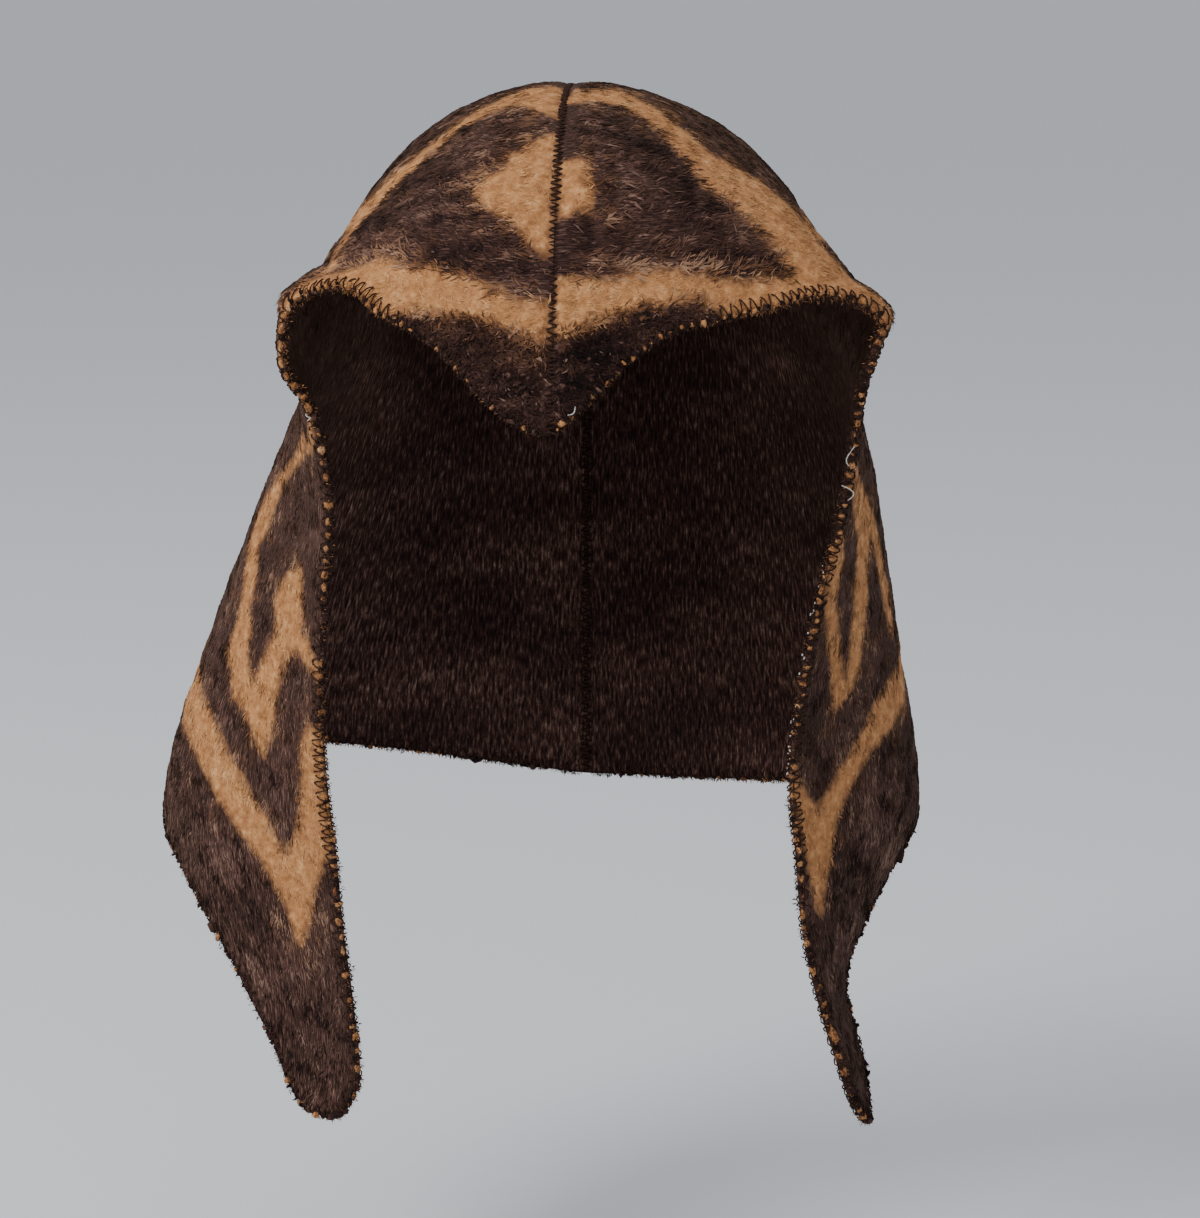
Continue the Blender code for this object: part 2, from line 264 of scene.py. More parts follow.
def head_point(side, q, drop):
    """P(q, drop): three Hermite arcs in plan at that depth, moved outward by the waves."""
    at = section_at(side, drop)
    front = (0.0, -at["front"])
    corner = (at["edge_x"], at["edge_y"])
    widest = (at["wide"], at["wide_y"])
    nape = (0.0, at["back"])
    heading = np.radians(at["heading"])

    def leave(start, end, angle, pull):
        """A tangent: its direction, as long as the chord times pull."""
        length = pull * np.hypot(end[0] - start[0], end[1] - start[1])
        return length * np.cos(angle), length * np.sin(angle)

    stretches = (
        arc(
            front,
            leave(front, corner, 0.0, FRONT_PULL),
            corner,
            leave(front, corner, heading, at["corner_pull"]),
            np.clip(q, 0.0, 1.0),
        ),
        arc(
            corner,
            leave(corner, widest, heading, at["corner_pull"]),
            widest,
            leave(corner, widest, math.pi / 2, WIDE_PULL),
            np.clip(q - 1.0, 0.0, 1.0),
        ),
        arc(
            widest,
            leave(widest, nape, math.pi / 2, NAPE_PULL),
            nape,
            leave(widest, nape, math.pi, NAPE_PULL),
            np.clip(q - 2.0, 0.0, 1.0),
        ),
    )
    x, y = (
        np.where(q < 1.0, brow, np.where(q < 2.0, ear, back))
        for brow, ear, back in zip(*stretches)
    )
    outward = 1 + fold_height(side, q, drop) / np.maximum(np.hypot(x, y), FELT)
    place = np.broadcast_arrays(HAND[side] * x * outward, y * outward, -drop)
    return np.stack(place, axis=-1)


def brow_drop(side, q):
    """Depth of the brow's cut edge; behind the corner it keeps the corner's depth."""
    return smooth_curve(np.clip(q, 0.0, 1.0), *np.array(BROW_EDGE[side]).T)


def hem_drop(side, q):
    """Depth of the lower cut edge, round the lappet and along the nape."""
    return smooth_curve(q, *np.array(HEM_EDGE[side]).T)


print("the brow corner, left:", np.round(head_point("left", 1.0, CORNER_DROP["left"]), 4))


# %% Which way the cloth faces
Q_STEP = 0.004  # how far apart the points are from which a slope is taken, in q
DROP_STEP = 0.0003  # and in depth


def unit(vectors):
    """Each vector divided by its own length."""
    return vectors / np.maximum(np.linalg.norm(vectors, axis=-1, keepdims=True), 1e-12)


def slopes(side, q, drop):
    """How P moves for a unit of q and for a metre of depth, from two near points each."""
    q0, q1 = np.clip(q - Q_STEP, 0, 3), np.clip(q + Q_STEP, 0, 3)
    small = np.minimum(DROP_STEP, 0.2 * drop + 1e-7)  # shorter steps near the apex
    d0, d1 = np.maximum(drop - small, 0), drop + small
    by_q = (head_point(side, q1, drop) - head_point(side, q0, drop)) / (q1 - q0)[..., None]
    by_drop = (head_point(side, q, d1) - head_point(side, q, d0)) / (d1 - d0)[..., None]
    return by_q, by_drop


def felt_frame(side, q, drop):
    """Point against the head, and unit vectors round, down and out: out is round x down."""
    q, drop = np.broadcast_arrays(np.asarray(q, float), np.asarray(drop, float))
    by_q, by_drop = slopes(side, q, drop)
    out = np.cross(by_q, by_drop) * -HAND[side]
    # The apex faces up, and at the seams the cloth leans to neither side
    out[drop < 1e-6] = (0.0, 0.0, 1.0)
    out[..., 0] = np.where((q <= 0) | (q >= 3), 0.0, out[..., 0])
    return head_point(side, q, drop), unit(by_q), unit(by_drop), unit(out)


probe = felt_frame("left", 0.3, 0.05)[3]
print("the front of the cloth faces", np.round(probe, 2))

# %% Unevenness of the fulled cloth
WAVE_COUNT = 12


def ripple(points, waves, seed):
    """Sum of plane sine waves. Each has a random direction and a wavelength from the range
    waves, in metres, and the sum is seldom below -1 or above 1."""
    random = np.random.default_rng(seed)
    total = np.zeros(points.shape[:-1])
    for _ in range(WAVE_COUNT):
        wavelength = random.uniform(*waves)
        direction = unit(random.normal(size=3)) * 2 * math.pi / wavelength
        total += np.sin(points @ direction + random.uniform(0, 2 * math.pi))
    return total / math.sqrt(WAVE_COUNT) / 2


probe = ripple(np.array([[0.0, 0.0, 0.0], [0.01, 0.0, 0.0]]), (0.02, 0.05), 1)
print("a ripple at two places 1 cm apart:", np.round(probe, 2))

# %% [markdown]
# ## The woven pattern
#
# The blanket is woven in two wools, so the lozenges are in the cloth and not printed on it. Each
# tan shape is charted in q and depth: areas by their outline, bands by their middle line and
# width. For every point of the cloth the signed distance to the nearest tan shape is worked out
# in millimetres, positive inside. One smooth number like that keeps its meaning between points,
# so the material can fray the edges of the bands finer than the mesh.

# %% Chart of the tan wool: outlines, in q and drop
AREAS = {
    "left": {
        "brow diamond": (
            (-0.10, 0.0138), (0.04, 0.0140), (0.13, 0.0154), (0.18, 0.0186), (0.28, 0.0202),
            (0.29, 0.0240), (0.38, 0.0276), (0.42, 0.0311), (0.31, 0.0362), (0.18, 0.0392),
            (0.12, 0.0432), (0.08, 0.0466), (0.03, 0.0498), (-0.10, 0.0500),
        ),
        "brow band": (
            (-0.10, 0.0630), (0.07, 0.0632), (0.12, 0.0627), (0.16, 0.0605), (0.25, 0.0583),
            (0.40, 0.0548), (0.46, 0.0541), (0.54, 0.0551), (0.63, 0.0530), (0.72, 0.0525),
            (0.82, 0.0560), (0.94, 0.0600), (1.02, 0.0655), (1.06, 0.0740), (1.06, 0.0850),
            (1.05, 0.0980), (0.97, 0.0980), (0.90, 0.0800), (0.67, 0.0760), (0.55, 0.0690),
            (0.45, 0.0668), (0.33, 0.0676), (0.21, 0.0688), (0.10, 0.0721), (-0.10, 0.0790),
        ),
        "lappet chevron": (
            (1.31, 0.1128), (1.38, 0.1191), (1.52, 0.1251), (1.60, 0.1303), (1.64, 0.1358),
            (1.63, 0.1413), (1.64, 0.1473), (1.68, 0.1532), (1.66, 0.1579), (1.61, 0.1633),
            (1.58, 0.1758), (1.53, 0.1802), (1.52, 0.1910), (1.45, 0.1984), (1.40, 0.1869),
            (1.36, 0.1775), (1.42, 0.1694), (1.40, 0.1643), (1.35, 0.1587), (1.25, 0.1561),
            (1.20, 0.1660), (1.17, 0.1770), (1.07, 0.1838), (0.97, 0.1895), (0.97, 0.1945),
            (1.07, 0.1890), (1.20, 0.1835), (1.29, 0.1885), (1.30, 0.1980), (1.31, 0.2043),
            (1.32, 0.2127), (1.35, 0.2221), (1.39, 0.2174), (1.43, 0.2118), (1.50, 0.2064),
            (1.56, 0.2044), (1.59, 0.1960), (1.64, 0.1916), (1.65, 0.1859), (1.65, 0.1752),
            (1.70, 0.1668), (1.75, 0.1606), (1.79, 0.1539), (1.81, 0.1456), (1.79, 0.1383),
            (1.70, 0.1305), (1.57, 0.1237), (1.48, 0.1169), (1.42, 0.1100),
        ),
        "lappet lozenge": (
            (1.96, 0.1960), (1.88, 0.2011), (1.77, 0.2070), (1.69, 0.2109), (1.58, 0.2179),
            (1.50, 0.2259), (1.42, 0.2328), (1.39, 0.2384), (1.34, 0.2436), (1.32, 0.2464),
            (1.30, 0.2543), (1.27, 0.2549), (1.22, 0.2493), (1.18, 0.2412), (1.15, 0.2269),
            (1.15, 0.2164), (1.10, 0.2088), (0.97, 0.2088), (0.97, 0.2520), (1.01, 0.2520),
            (1.08, 0.2557), (1.15, 0.2663), (1.21, 0.2791), (1.27, 0.2882), (1.29, 0.2818),
            (1.31, 0.2720), (1.35, 0.2642), (1.40, 0.2560), (1.49, 0.2465), (1.59, 0.2356),
            (1.72, 0.2254), (1.88, 0.2190), (1.98, 0.2120),
        ),
        "crown band": (
            (-0.10, 0.0003), (0.15, 0.0012), (0.55, 0.0015), (0.99, 0.0027), (1.02, 0.0051),
            (1.07, 0.0077), (1.09, 0.0134), (1.18, 0.0202), (1.25, 0.0275), (1.31, 0.0355),
            (1.29, 0.0434), (1.20, 0.0500), (1.07, 0.0570), (0.96, 0.0610), (0.98, 0.0560),
            (1.08, 0.0501), (1.12, 0.0424), (1.07, 0.0348), (1.06, 0.0271), (1.00, 0.0201),
            (0.94, 0.0134), (0.75, 0.0082), (0.63, 0.0066), (0.36, 0.0069), (0.03, 0.0100),
            (-0.10, 0.0100),
        ),
        "nape diamond": ((3.10, 0.076), (2.80, 0.108), (3.10, 0.140)),
    },
    "right": {
        "brow diamond": (
            (-0.10, 0.0224), (0.03, 0.0222), (0.10, 0.0214), (0.15, 0.0228), (0.14, 0.0273),
            (0.155, 0.0325), (0.13, 0.0372), (0.09, 0.0365), (0.03, 0.0386), (-0.10, 0.0390),
        ),
        "brow band": (
            (-0.10, 0.0575), (0.08, 0.0567), (0.14, 0.0571), (0.26, 0.0549), (0.33, 0.0540),
            (0.41, 0.0558), (0.49, 0.0579), (0.63, 0.0585), (0.80, 0.0575), (0.90, 0.0660),
            (0.80, 0.0760), (0.60, 0.0760), (0.47, 0.0680), (0.35, 0.0638), (0.28, 0.0643),
            (0.22, 0.0655), (0.17, 0.0665), (0.12, 0.0684), (0.08, 0.0708), (-0.10, 0.0770),
        ),
        "crown band": (
            (-0.10, 0.0038), (0.04, 0.0036), (0.19, 0.0020), (0.60, 0.0012), (1.03, 0.0018),
            (1.05, 0.0042), (0.97, 0.0101), (1.01, 0.0159), (1.00, 0.0220), (1.10, 0.0250),
            (1.20, 0.0301), (1.24, 0.0372), (1.20, 0.0440), (1.12, 0.0500), (1.12, 0.0581),
            (1.08, 0.0660), (1.03, 0.0780), (0.90, 0.0840), (0.79, 0.0760), (0.74, 0.0600),
            (0.77, 0.0532), (0.78, 0.0460), (0.78, 0.0384), (0.80, 0.0347), (0.70, 0.0315),
            (0.73, 0.0281), (0.75, 0.0206), (0.74, 0.0131), (0.67, 0.0108), (0.55, 0.0063),
            (0.29, 0.0051), (0.05, 0.0056), (-0.10, 0.0058),
        ),
        "lappet chevron": (
            (1.03, 0.1400), (1.20, 0.1500), (1.20, 0.1580), (1.19, 0.1626), (1.26, 0.1739),
            (1.33, 0.1852), (1.37, 0.1953), (1.40, 0.1862), (1.41, 0.1761), (1.44, 0.1679),
            (1.42, 0.1635), (1.44, 0.1543), (1.45, 0.1457), (1.20, 0.1320), (1.01, 0.1210),
            (1.11, 0.1180), (1.42, 0.1260), (1.60, 0.1329), (1.73, 0.1400), (1.77, 0.1469),
            (1.83, 0.1630), (1.86, 0.1785), (1.84, 0.1867), (1.78, 0.1809), (1.75, 0.1685),
            (1.71, 0.1537), (1.66, 0.1468), (1.59, 0.1562), (1.57, 0.1663), (1.52, 0.1793),
            (1.48, 0.1910), (1.42, 0.1982), (1.30, 0.2052), (1.28, 0.1968), (1.21, 0.1805),
            (1.06, 0.1640), (0.97, 0.1558), (0.97, 0.1440),
        ),
        "lappet lozenge": (
            (1.97, 0.1930), (1.86, 0.1970), (1.73, 0.2004), (1.58, 0.2068), (1.48, 0.2147),
            (1.39, 0.2219), (1.30, 0.2290), (1.19, 0.2375), (1.12, 0.2320), (1.03, 0.2240),
            (0.97, 0.2200), (0.97, 0.2290), (1.02, 0.2370), (1.05, 0.2480), (1.08, 0.2600),
            (1.13, 0.2722), (1.18, 0.2734), (1.22, 0.2609), (1.25, 0.2511), (1.30, 0.2408),
            (1.38, 0.2332), (1.46, 0.2271), (1.55, 0.2209), (1.70, 0.2160), (1.87, 0.2095),
            (1.98, 0.2035),
        ),
        "nape diamond": ((3.10, 0.076), (2.80, 0.108), (3.10, 0.140)),
    },
}

# %% Bands that the outlines don't hold, as width in mm and middle line
BANDS = {
    "left": (
        (4.5, ((1.03, 0.0940), (1.04, 0.1050), (1.16, 0.1130), (1.34, 0.1145))),
        (13.0, ((1.96, 0.2040), (2.10, 0.1880), (2.42, 0.1290), (2.30, 0.1010),
                (1.90, 0.0600), (1.62, 0.0450), (1.30, 0.0390))),
        (10.0, ((3.15, 0.0300), (2.62, 0.1060), (2.66, 0.1120), (3.15, 0.1840))),
        (10.0, ((2.08, 0.2600), (2.27, 0.2240), (2.45, 0.2430), (2.66, 0.2480),
                (3.15, 0.2180))),
    ),
    "right": (
        (13.0, ((1.96, 0.1985), (2.10, 0.1840), (2.42, 0.1270), (2.30, 0.1000),
                (1.90, 0.0600), (1.62, 0.0470), (1.18, 0.0440))),
        (10.0, ((3.15, 0.0300), (2.62, 0.1060), (2.66, 0.1120), (3.15, 0.1840))),
        (10.0, ((2.06, 0.2660), (2.25, 0.2330), (2.42, 0.2490), (2.66, 0.2550),
                (3.15, 0.2180))),
    ),
}
print("tan shapes:", {side: len(AREAS[side]) + len(BANDS[side]) for side in SIDES})


# %% Signed distance to the tan wool
SEAM_LINE = 0.8  # mm on each side of the seam that stay dark
CHART_STEPS = 4  # straight pieces from one charted point to the next
PAST_SEAM = 90.0  # mm for each unit of q that a chart reaches past a seam


def charted_line(side, line, closed):
    """The charted points as a chain of short pieces on the cloth, in mm."""
    knots = np.array([*line, line[0]] if closed else line)
    steps = np.linspace(0, len(knots) - 1, CHART_STEPS * (len(knots) - 1) + 1)
    q, drop = (np.interp(steps, np.arange(len(knots)), knots[:, k]) for k in (0, 1))
    points = head_point(side, np.clip(q, 0, 3), np.maximum(drop, 0)) * MM
    points[:, 0] += HAND[side] * PAST_SEAM * (np.minimum(q, 0) + np.minimum(3 - q, 0))
    return points


def distance_to_line(points, line):
    """The smallest distance from each point to the line's straight pieces."""
    start, along = line[:-1], np.diff(line, axis=0)
    squared = np.maximum((along**2).sum(-1), 1e-9)
    nearest = np.full(len(points), np.inf)
    for corner, step, size in zip(start, along, squared):
        share = np.clip((points - corner) @ step / size, 0, 1)
        away = np.linalg.norm(points - corner - share[:, None] * step, axis=1)
        nearest = np.minimum(nearest, away)
    return nearest


def inside_outline(q, drop, outline):
    """Whether a line from the point along q crosses the outline an odd number of times."""
    odd = np.zeros(q.shape, bool)
    for (q0, d0), (q1, d1) in zip(outline, [*outline[1:], outline[0]]):
        spans = (d0 > drop) != (d1 > drop)
        crossing = q0 + (drop - d0) * (q1 - q0) / (d1 - d0 if d1 != d0 else 1e-9)
        odd ^= spans & (q < crossing)
    return odd


def tan_distance(side, q, drop):
    """Signed distance in mm to the nearest tan shape, positive inside it."""
    points = head_point(side, q, drop) * MM
    best = np.full(len(points), -np.inf)
    for outline in AREAS[side].values():
        away = distance_to_line(points, charted_line(side, outline, True))
        best = np.maximum(best, np.where(inside_outline(q, drop, outline), away, -away))
    for width, line in BANDS[side]:
        away = distance_to_line(points, charted_line(side, line, False))
        best = np.maximum(best, width / 2 - away)
    return np.minimum(best, np.abs(points[..., 0]) - SEAM_LINE)


probe = tan_distance("left", np.array([0.15, 0.15]), np.array([0.030, 0.055]))
print("3 and 5.5 cm down the brow, in the tan wool by:", np.round(probe, 1), "mm")

# %% [markdown]
# ## Parts of the hat, and the streaks of its wool
#
# No blanket is quite even: its yarn has lighter and darker locks, and brushing lays them in
# streaks. How they lie depends on the part of the hat, so a few shares between 0 and 1 say where
# a point is. The cloth and the nap both use them, and agree with each other.

# %% Places and shares
ROUND_LENGTH = 0.10  # metres along the cloth for a unit of q, roughly
DOME_LENGTH = 0.085  # and for a radian of the dome's quarter turn
CROWN_END = 0.066  # depth at which the crown gives way to the lappets and to the brow point


def cloth_place(q, drop):
    """Rough lengths along the cloth in metres: round, and down over the dome and the side."""
    turn = np.arccos(1 - np.clip(drop / DOME_HEIGHT, 0, 1))
    return q * ROUND_LENGTH, DOME_LENGTH * turn + np.maximum(drop - DOME_HEIGHT, 0)


def crown_share(drop):
    """1 on the crown, 0 on the lappets, and a smooth step between."""
    return 1 - smooth_step((drop - CROWN_END) / 0.030)


def outward_share(q, drop):
    """1 where the nap lies outward, on the front of the crown with the brow point; 0 where it
    hangs down."""
    brow = 1 - smooth_step((q - 0.5) / 0.5)
    return np.maximum(crown_share(drop), brow) * (1 - smooth_step((q - 0.5) / 1.4))


def point_share(q, drop):
    """1 on the brow point, 0 elsewhere, and a smooth step between."""
    return smooth_step((drop - CROWN_END) / 0.015) * (1 - smooth_step((q - 0.3) / 0.3))


probe = crown_share(np.array([0.06, 0.08, 0.10]))
print("crown share 6, 8 and 10 cm under the top:", np.round(probe, 2))

# %% Streaks and patches of the wool
PATCH_SIZES = (0.014, 0.045)  # metres
LOCK_STRETCH = 0.25  # width of a lock, as a share of its length


def patches(side, q, drop):
    """Slow change of lightness, mostly from -1 to 1, in patches of a few centimetres."""
    round_, down = cloth_place(q, drop)
    flat = np.stack([round_, down, np.full_like(down, HAND[side])], axis=-1)
    return ripple(flat, PATCH_SIZES, 60)


def streaks(side, q, drop, waves):
    """Locks of lighter and darker wool, mostly between -1 and 1, four times as long as wide:
    they lie as the nap does. waves is the range of their widths."""
    round_, down = cloth_place(q, drop)
    level = np.full_like(down, HAND[side])
    outward = ripple(np.stack([LOCK_STRETCH * round_, down, level], axis=-1), waves, 51)
    downward = ripple(np.stack([round_, LOCK_STRETCH * down, level], axis=-1), waves, 56)
    share = outward_share(q, drop)
    return 2 * (outward * share + downward * (1 - share))


probe = streaks("left", np.array([1.50, 1.52]), np.array([0.15, 0.15]), (0.004, 0.011))
print("streaks 2 mm apart:", np.round(probe, 2))

# %% [markdown]
# ## The two felt panels
#
# A panel is a closed shell: the face against the head, the outer face a cloth's thickness away,
# and a rim that joins them. The grid's lines follow the cut edges, so the edge is clean. The
# cloth is a little uneven from washing and fulling, thins into the seam, and rounds off at the
# cut edge where the oversewing pulls it together.

# %% The grid of one panel
COLUMNS = (50, 48, 42)  # brow, ear and back
FRONT_COLUMNS = (0.012, 0.03)  # q past the lappet's front edge of two columns, to round it
CROWN_ROWS = 52
SKIRT_ROWS = 80
EDGE_SHARES = (0.985, 0.994)  # two more rows just before a cut edge, to round it


def panel_lattice(side):
    """(q, drop) of the crown's rows and of the skirt's rows, which hang from the crown."""
    brow, ear, back = COLUMNS
    q = np.concatenate(
        [
            np.linspace(0, 1, brow + 1),
            1 + np.concatenate([FRONT_COLUMNS, np.linspace(0, 1, ear + 1)[2:]]),
            2 + np.linspace(0, 1, back + 1)[1:],
        ]
    )
    corner_turn = math.acos(1 - CORNER_DROP[side] / DOME_HEIGHT)
    turns = np.linspace(0, corner_turn, CROWN_ROWS + 1)
    shares = (1 - np.cos(turns)) / (1 - math.cos(corner_turn))
    shares = np.concatenate([shares[:-1], EDGE_SHARES, [1.0]])
    # Leave out a row that all but touches the one above it
    shares = shares[np.concatenate([[True], np.diff(shares) > 0.001])]
    crown_q, depth_share = np.meshgrid(q, shares)
    crown = crown_q, depth_share * brow_drop(side, crown_q)

    steps = np.linspace(0, 1, SKIRT_ROWS + 1)[1:-1]
    steps = np.concatenate([steps, [EDGE_SHARES[-1], 1.0]])
    skirt_q, skirt_step = np.meshgrid(q[brow:], steps)
    top = CORNER_DROP[side]
    return crown, (skirt_q, top + skirt_step * (hem_drop(side, skirt_q) - top))


crown_grid, skirt_grid = panel_lattice("left")
print("crown", crown_grid[0].shape, "skirt", skirt_grid[0].shape)


# %% Shell of one panel
RIPPLE_HEIGHT = 0.0005
RIPPLES = (0.006, 0.018)  # their wavelengths
SEAM_DIP = 0.40  # share of the thickness that the seam pulls in
SEAM_REACH = 0.0022  # how far from the seam the dip runs out
EDGE_REACH = 0.0016  # how far from a cut edge it starts to round off
EDGE_PINCH = 0.0007  # how far each face has come in at the edge
RIM_BULGE = 0.0004  # how far the middle of the rim stands out


def edge_distance(side, q, drop):
    """Distance in metres to the nearest cut edge, measured along the cloth."""
    by_q, by_drop = (np.linalg.norm(s, axis=-1) for s in slopes(side, q, drop))
    brow = (brow_drop(side, q) - drop) * by_drop
    hem = (hem_drop(side, np.maximum(q, 1.0)) - drop) * by_drop
    front = (q - 1) * by_q
    # A cut edge that slants is nearer than its distance straight down
    along_hem = np.linspace(1, 3, 400)
    slant = np.gradient(hem_drop(side, along_hem), along_hem[1] - along_hem[0])
    steep = np.interp(q, along_hem, slant) * by_drop / np.maximum(by_q, 1e-4)
    hem = hem / np.sqrt(1 + steep**2)
    below = drop > CORNER_DROP[side]
    return np.where(q <= 1, brow, np.where(below, np.minimum(front, hem), hem))


def felt_faces(side, q, drop):
    """(inner, outer): the two faces. Thickness, ripple, seam dip and rounded edges are all
    moves along the direction out of the cloth."""
    inner, _, _, out = felt_frame(side, q, drop)
    seam = 1 - SEAM_DIP * np.exp(-((inner[..., 0] / SEAM_REACH) ** 2))
    near = np.clip(1 - edge_distance(side, q, drop) / EDGE_REACH, 0, 1) ** 2
    bump = RIPPLE_HEIGHT * ripple(inner, RIPPLES, 3) * (1 - near)
    outer = inner + out * (FELT * seam + bump - EDGE_PINCH * near)[..., None]
    inner = inner + out * (EDGE_PINCH * near)[..., None]
    return inner, outer


probe = np.subtract(*felt_faces("left", np.array([0.0, 0.5]), np.array([0.04, 0.04])))
print("mm thick at the seam and beside it:", np.round(np.linalg.norm(probe, axis=-1) * MM, 2))


def weave_index(rows, columns, first):
    """Point numbers of a grid, row by row, from first on."""
    return first + np.arange(rows * columns).reshape(rows, columns)


def grid_quads(ids):
    """The four corners of each cell of a grid of point numbers."""
    corners = (ids[:-1, :-1], ids[1:, :-1], ids[1:, 1:], ids[:-1, 1:])
    return np.stack(corners, axis=-1).reshape(-1, 4)


# %% A mesh from arrays
def add_piece(name, points, faces, material, values=(), normals=None, flat=None):
    """Mesh object from all its points and its faces, given as one array for each number of
    corners. values are pairs of a name and one number for each point; normals are directions
    to shade for; flat gives each point's place on the flat cloth, for a UV map."""
    corners = np.concatenate([f.ravel() for f in faces])
    sizes = np.concatenate([np.full(len(f), f.shape[1]) for f in faces])
    mesh = bpy.data.meshes.new(name)
    mesh.vertices.add(len(points))
    mesh.vertices.foreach_set("co", np.asarray(points, np.float32).ravel())
    mesh.loops.add(len(corners))
    mesh.loops.foreach_set("vertex_index", corners.astype(np.int32))
    mesh.polygons.add(len(sizes))
    starts = np.concatenate([[0], np.cumsum(sizes)[:-1]])
    mesh.polygons.foreach_set("loop_start", starts.astype(np.int32))
    for value_name, numbers in values:
        attribute = mesh.attributes.new(value_name, "FLOAT", "POINT")
        attribute.data.foreach_set("value", np.asarray(numbers, np.float32))
    mesh.update(calc_edges=True)
    if flat is not None:
        layer = mesh.uv_layers.new(name="cloth")
        layer.data.foreach_set("uv", np.asarray(flat, np.float32)[corners].ravel())
    mesh.validate()
    mesh.shade_smooth()
    if normals is not None:
        mesh.normals_split_custom_set_from_vertices(normals.tolist())
    mesh.materials.append(material)
    piece = bpy.data.objects.new(name, mesh)
    bpy.context.scene.collection.objects.link(piece)
    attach(piece, "root")
    triangles = int((sizes - 2).sum())
    print(f"{name}: {len(points)} points, {triangles} triangles")
    return piece


# %% [markdown]
# ## Colours and material nodes
#
# Colours are written as a picture program shows them, in sRGB, and Blender mixes light in linear
# numbers, so one function converts them. A second one adds a node, sets it and links it.


# %% Colour and node helpers
def linear(code):
    """sRGB hex to linear: c / 12.92 when dark, else ((c + 0.055) / 1.055) to the 2.4."""
    parts = [int(code[i : i + 2], 16) / 255 for i in (1, 3, 5)]
    return (*[c / 12.92 if c <= 0.04045 else ((c + 0.055) / 1.055) ** 2.4 for c in parts], 1.0)


MIX_A, MIX_B, MIX_RESULT = 6, 7, 2  # a Mix node's colour sockets


def add_node(tree, kind, settings=None, inputs=None):
    """A node with its settings. An input is a value, or another node's output to link."""
    node = tree.nodes.new(kind)
    for name, value in (settings or {}).items():
        setattr(node, name, value)
    for socket, value in (inputs or {}).items():
        if isinstance(value, bpy.types.NodeSocket):
            tree.links.new(value, node.inputs[socket])
        else:
            node.inputs[socket].default_value = value
    return node


def new_material(name, shader_values):
    """An empty material with a Principled shader: (material, its nodes, the shader)."""
    material = bpy.data.materials.new(name)
    material.use_nodes = True
    shader = material.node_tree.nodes["Principled BSDF"]
    for socket, value in shader_values.items():
        shader.inputs[socket].default_value = value
    return material, material.node_tree, shader


print("dark brown wool in linear numbers:", np.round(linear("#2a1c18"), 4))

# %% [markdown]
# ## The two wools
#
# The brown is a blend: near-black, chocolate, grey-brown and a little pale fibre are carded
# together and spun, so it looks streaky from close by. The tan was dyed lighter and more evenly.
# Both are a row of colours from dark to light, and a number from 0 to 1 picks the place in it.

# %% Colours of the two wools
BROWN_WOOL = (
    (0.00, "#120a0a"), (0.30, "#2a1a17"), (0.52, "#47302a"), (0.72, "#6b5046"),
    (0.88, "#8d7162"), (1.00, "#b3987f"),
)
TAN_WOOL = ((0.00, "#764b2f"), (0.30, "#9f6c43"), (0.55, "#b98253"), (1.00, "#deb181"))
print("colours:", len(BROWN_WOOL), "in the brown wool,", len(TAN_WOOL), "in the tan one")


def wool_blend(tree, light, wool):
    """Straight lines between the wool's colours, one Mix node for each stretch."""
    (low, code), *rest = wool
    colour = linear(code)
    for high, code in rest:
        share = add_node(tree, "ShaderNodeMapRange", inputs={
            "Value": light, "From Min": low, "From Max": high})
        colour = add_node(tree, "ShaderNodeMix", {"data_type": "RGBA"}, {
            0: share.outputs[0], MIX_A: colour, MIX_B: linear(code)}).outputs[MIX_RESULT]
        low = high
    return colour


# %% [markdown]
# ## Fulled blanket cloth
#
# Under the raised nap lies a felted web of wool: matt, with a soft light at grazing angles from
# the fibre ends. Where the two wools meet, fibres of one colour reach 1 to 2 mm into the other,
# so noise is added to the distance before it picks the colour.

# %% Finish of all the wool: matt, with a little sheen
WOOL_FINISH = {
    "Roughness": 0.95,
    "Specular IOR Level": 0.12,
    "Sheen Weight": 0.10,
    "Sheen Roughness": 0.5,
    "Sheen Tint": linear("#b98f6a"),
}
print("wool finish:", WOOL_FINISH["Roughness"], "rough,", WOOL_FINISH["Sheen Weight"], "sheen")

# %% Locks, tufts and the frayed border
LOCK_WIDTH = 0.0005  # metres; single fibres are too fine to show, so a lock stands for several
LOCK_LENGTH = 0.005
TUFTS = 300.0  # in a metre of cloth, which makes one about 3 mm wide
FRAY = 5.0  # mm from the furthest reach of one wool to that of the other
BORDER = 2.0  # mm on each side of the frayed line over which the wools mix
# Lightness is a gain times the noise, plus an offset
# In the tan wool the tufts are lighter and the creases between them darker: painted shade
TUFT_SHADE_GAIN, TUFT_SHADE_OFFSET = 1.6, -0.36
LOCK_GAIN, LOCK_OFFSET = 2.0, -0.60
PATCH_LIGHT = 0.12  # by the patches, in the cloth and in its nap
CLOTH_RELIEF = 0.0008
print(f"locks {LOCK_WIDTH * MM:.1f} mm wide, tufts {MM / TUFTS:.1f} mm")


def lock_noise(tree, flat, hanging):
    """Noise in the plane of the cloth, in marks of a lock's size; they lie round the head, or
    down it when hanging."""
    scale = (1 / LOCK_LENGTH, 1 / LOCK_WIDTH, 1)
    if hanging:
        scale = (1 / LOCK_WIDTH, 1 / LOCK_LENGTH, 1)
    place = add_node(tree, "ShaderNodeVectorMath", {"operation": "MULTIPLY"}, {0: flat, 1: scale})
    return add_node(tree, "ShaderNodeTexNoise", inputs={
        "Vector": place.outputs[0], "Scale": 1.0, "Detail": 3.0, "Roughness": 0.65}).outputs["Fac"]


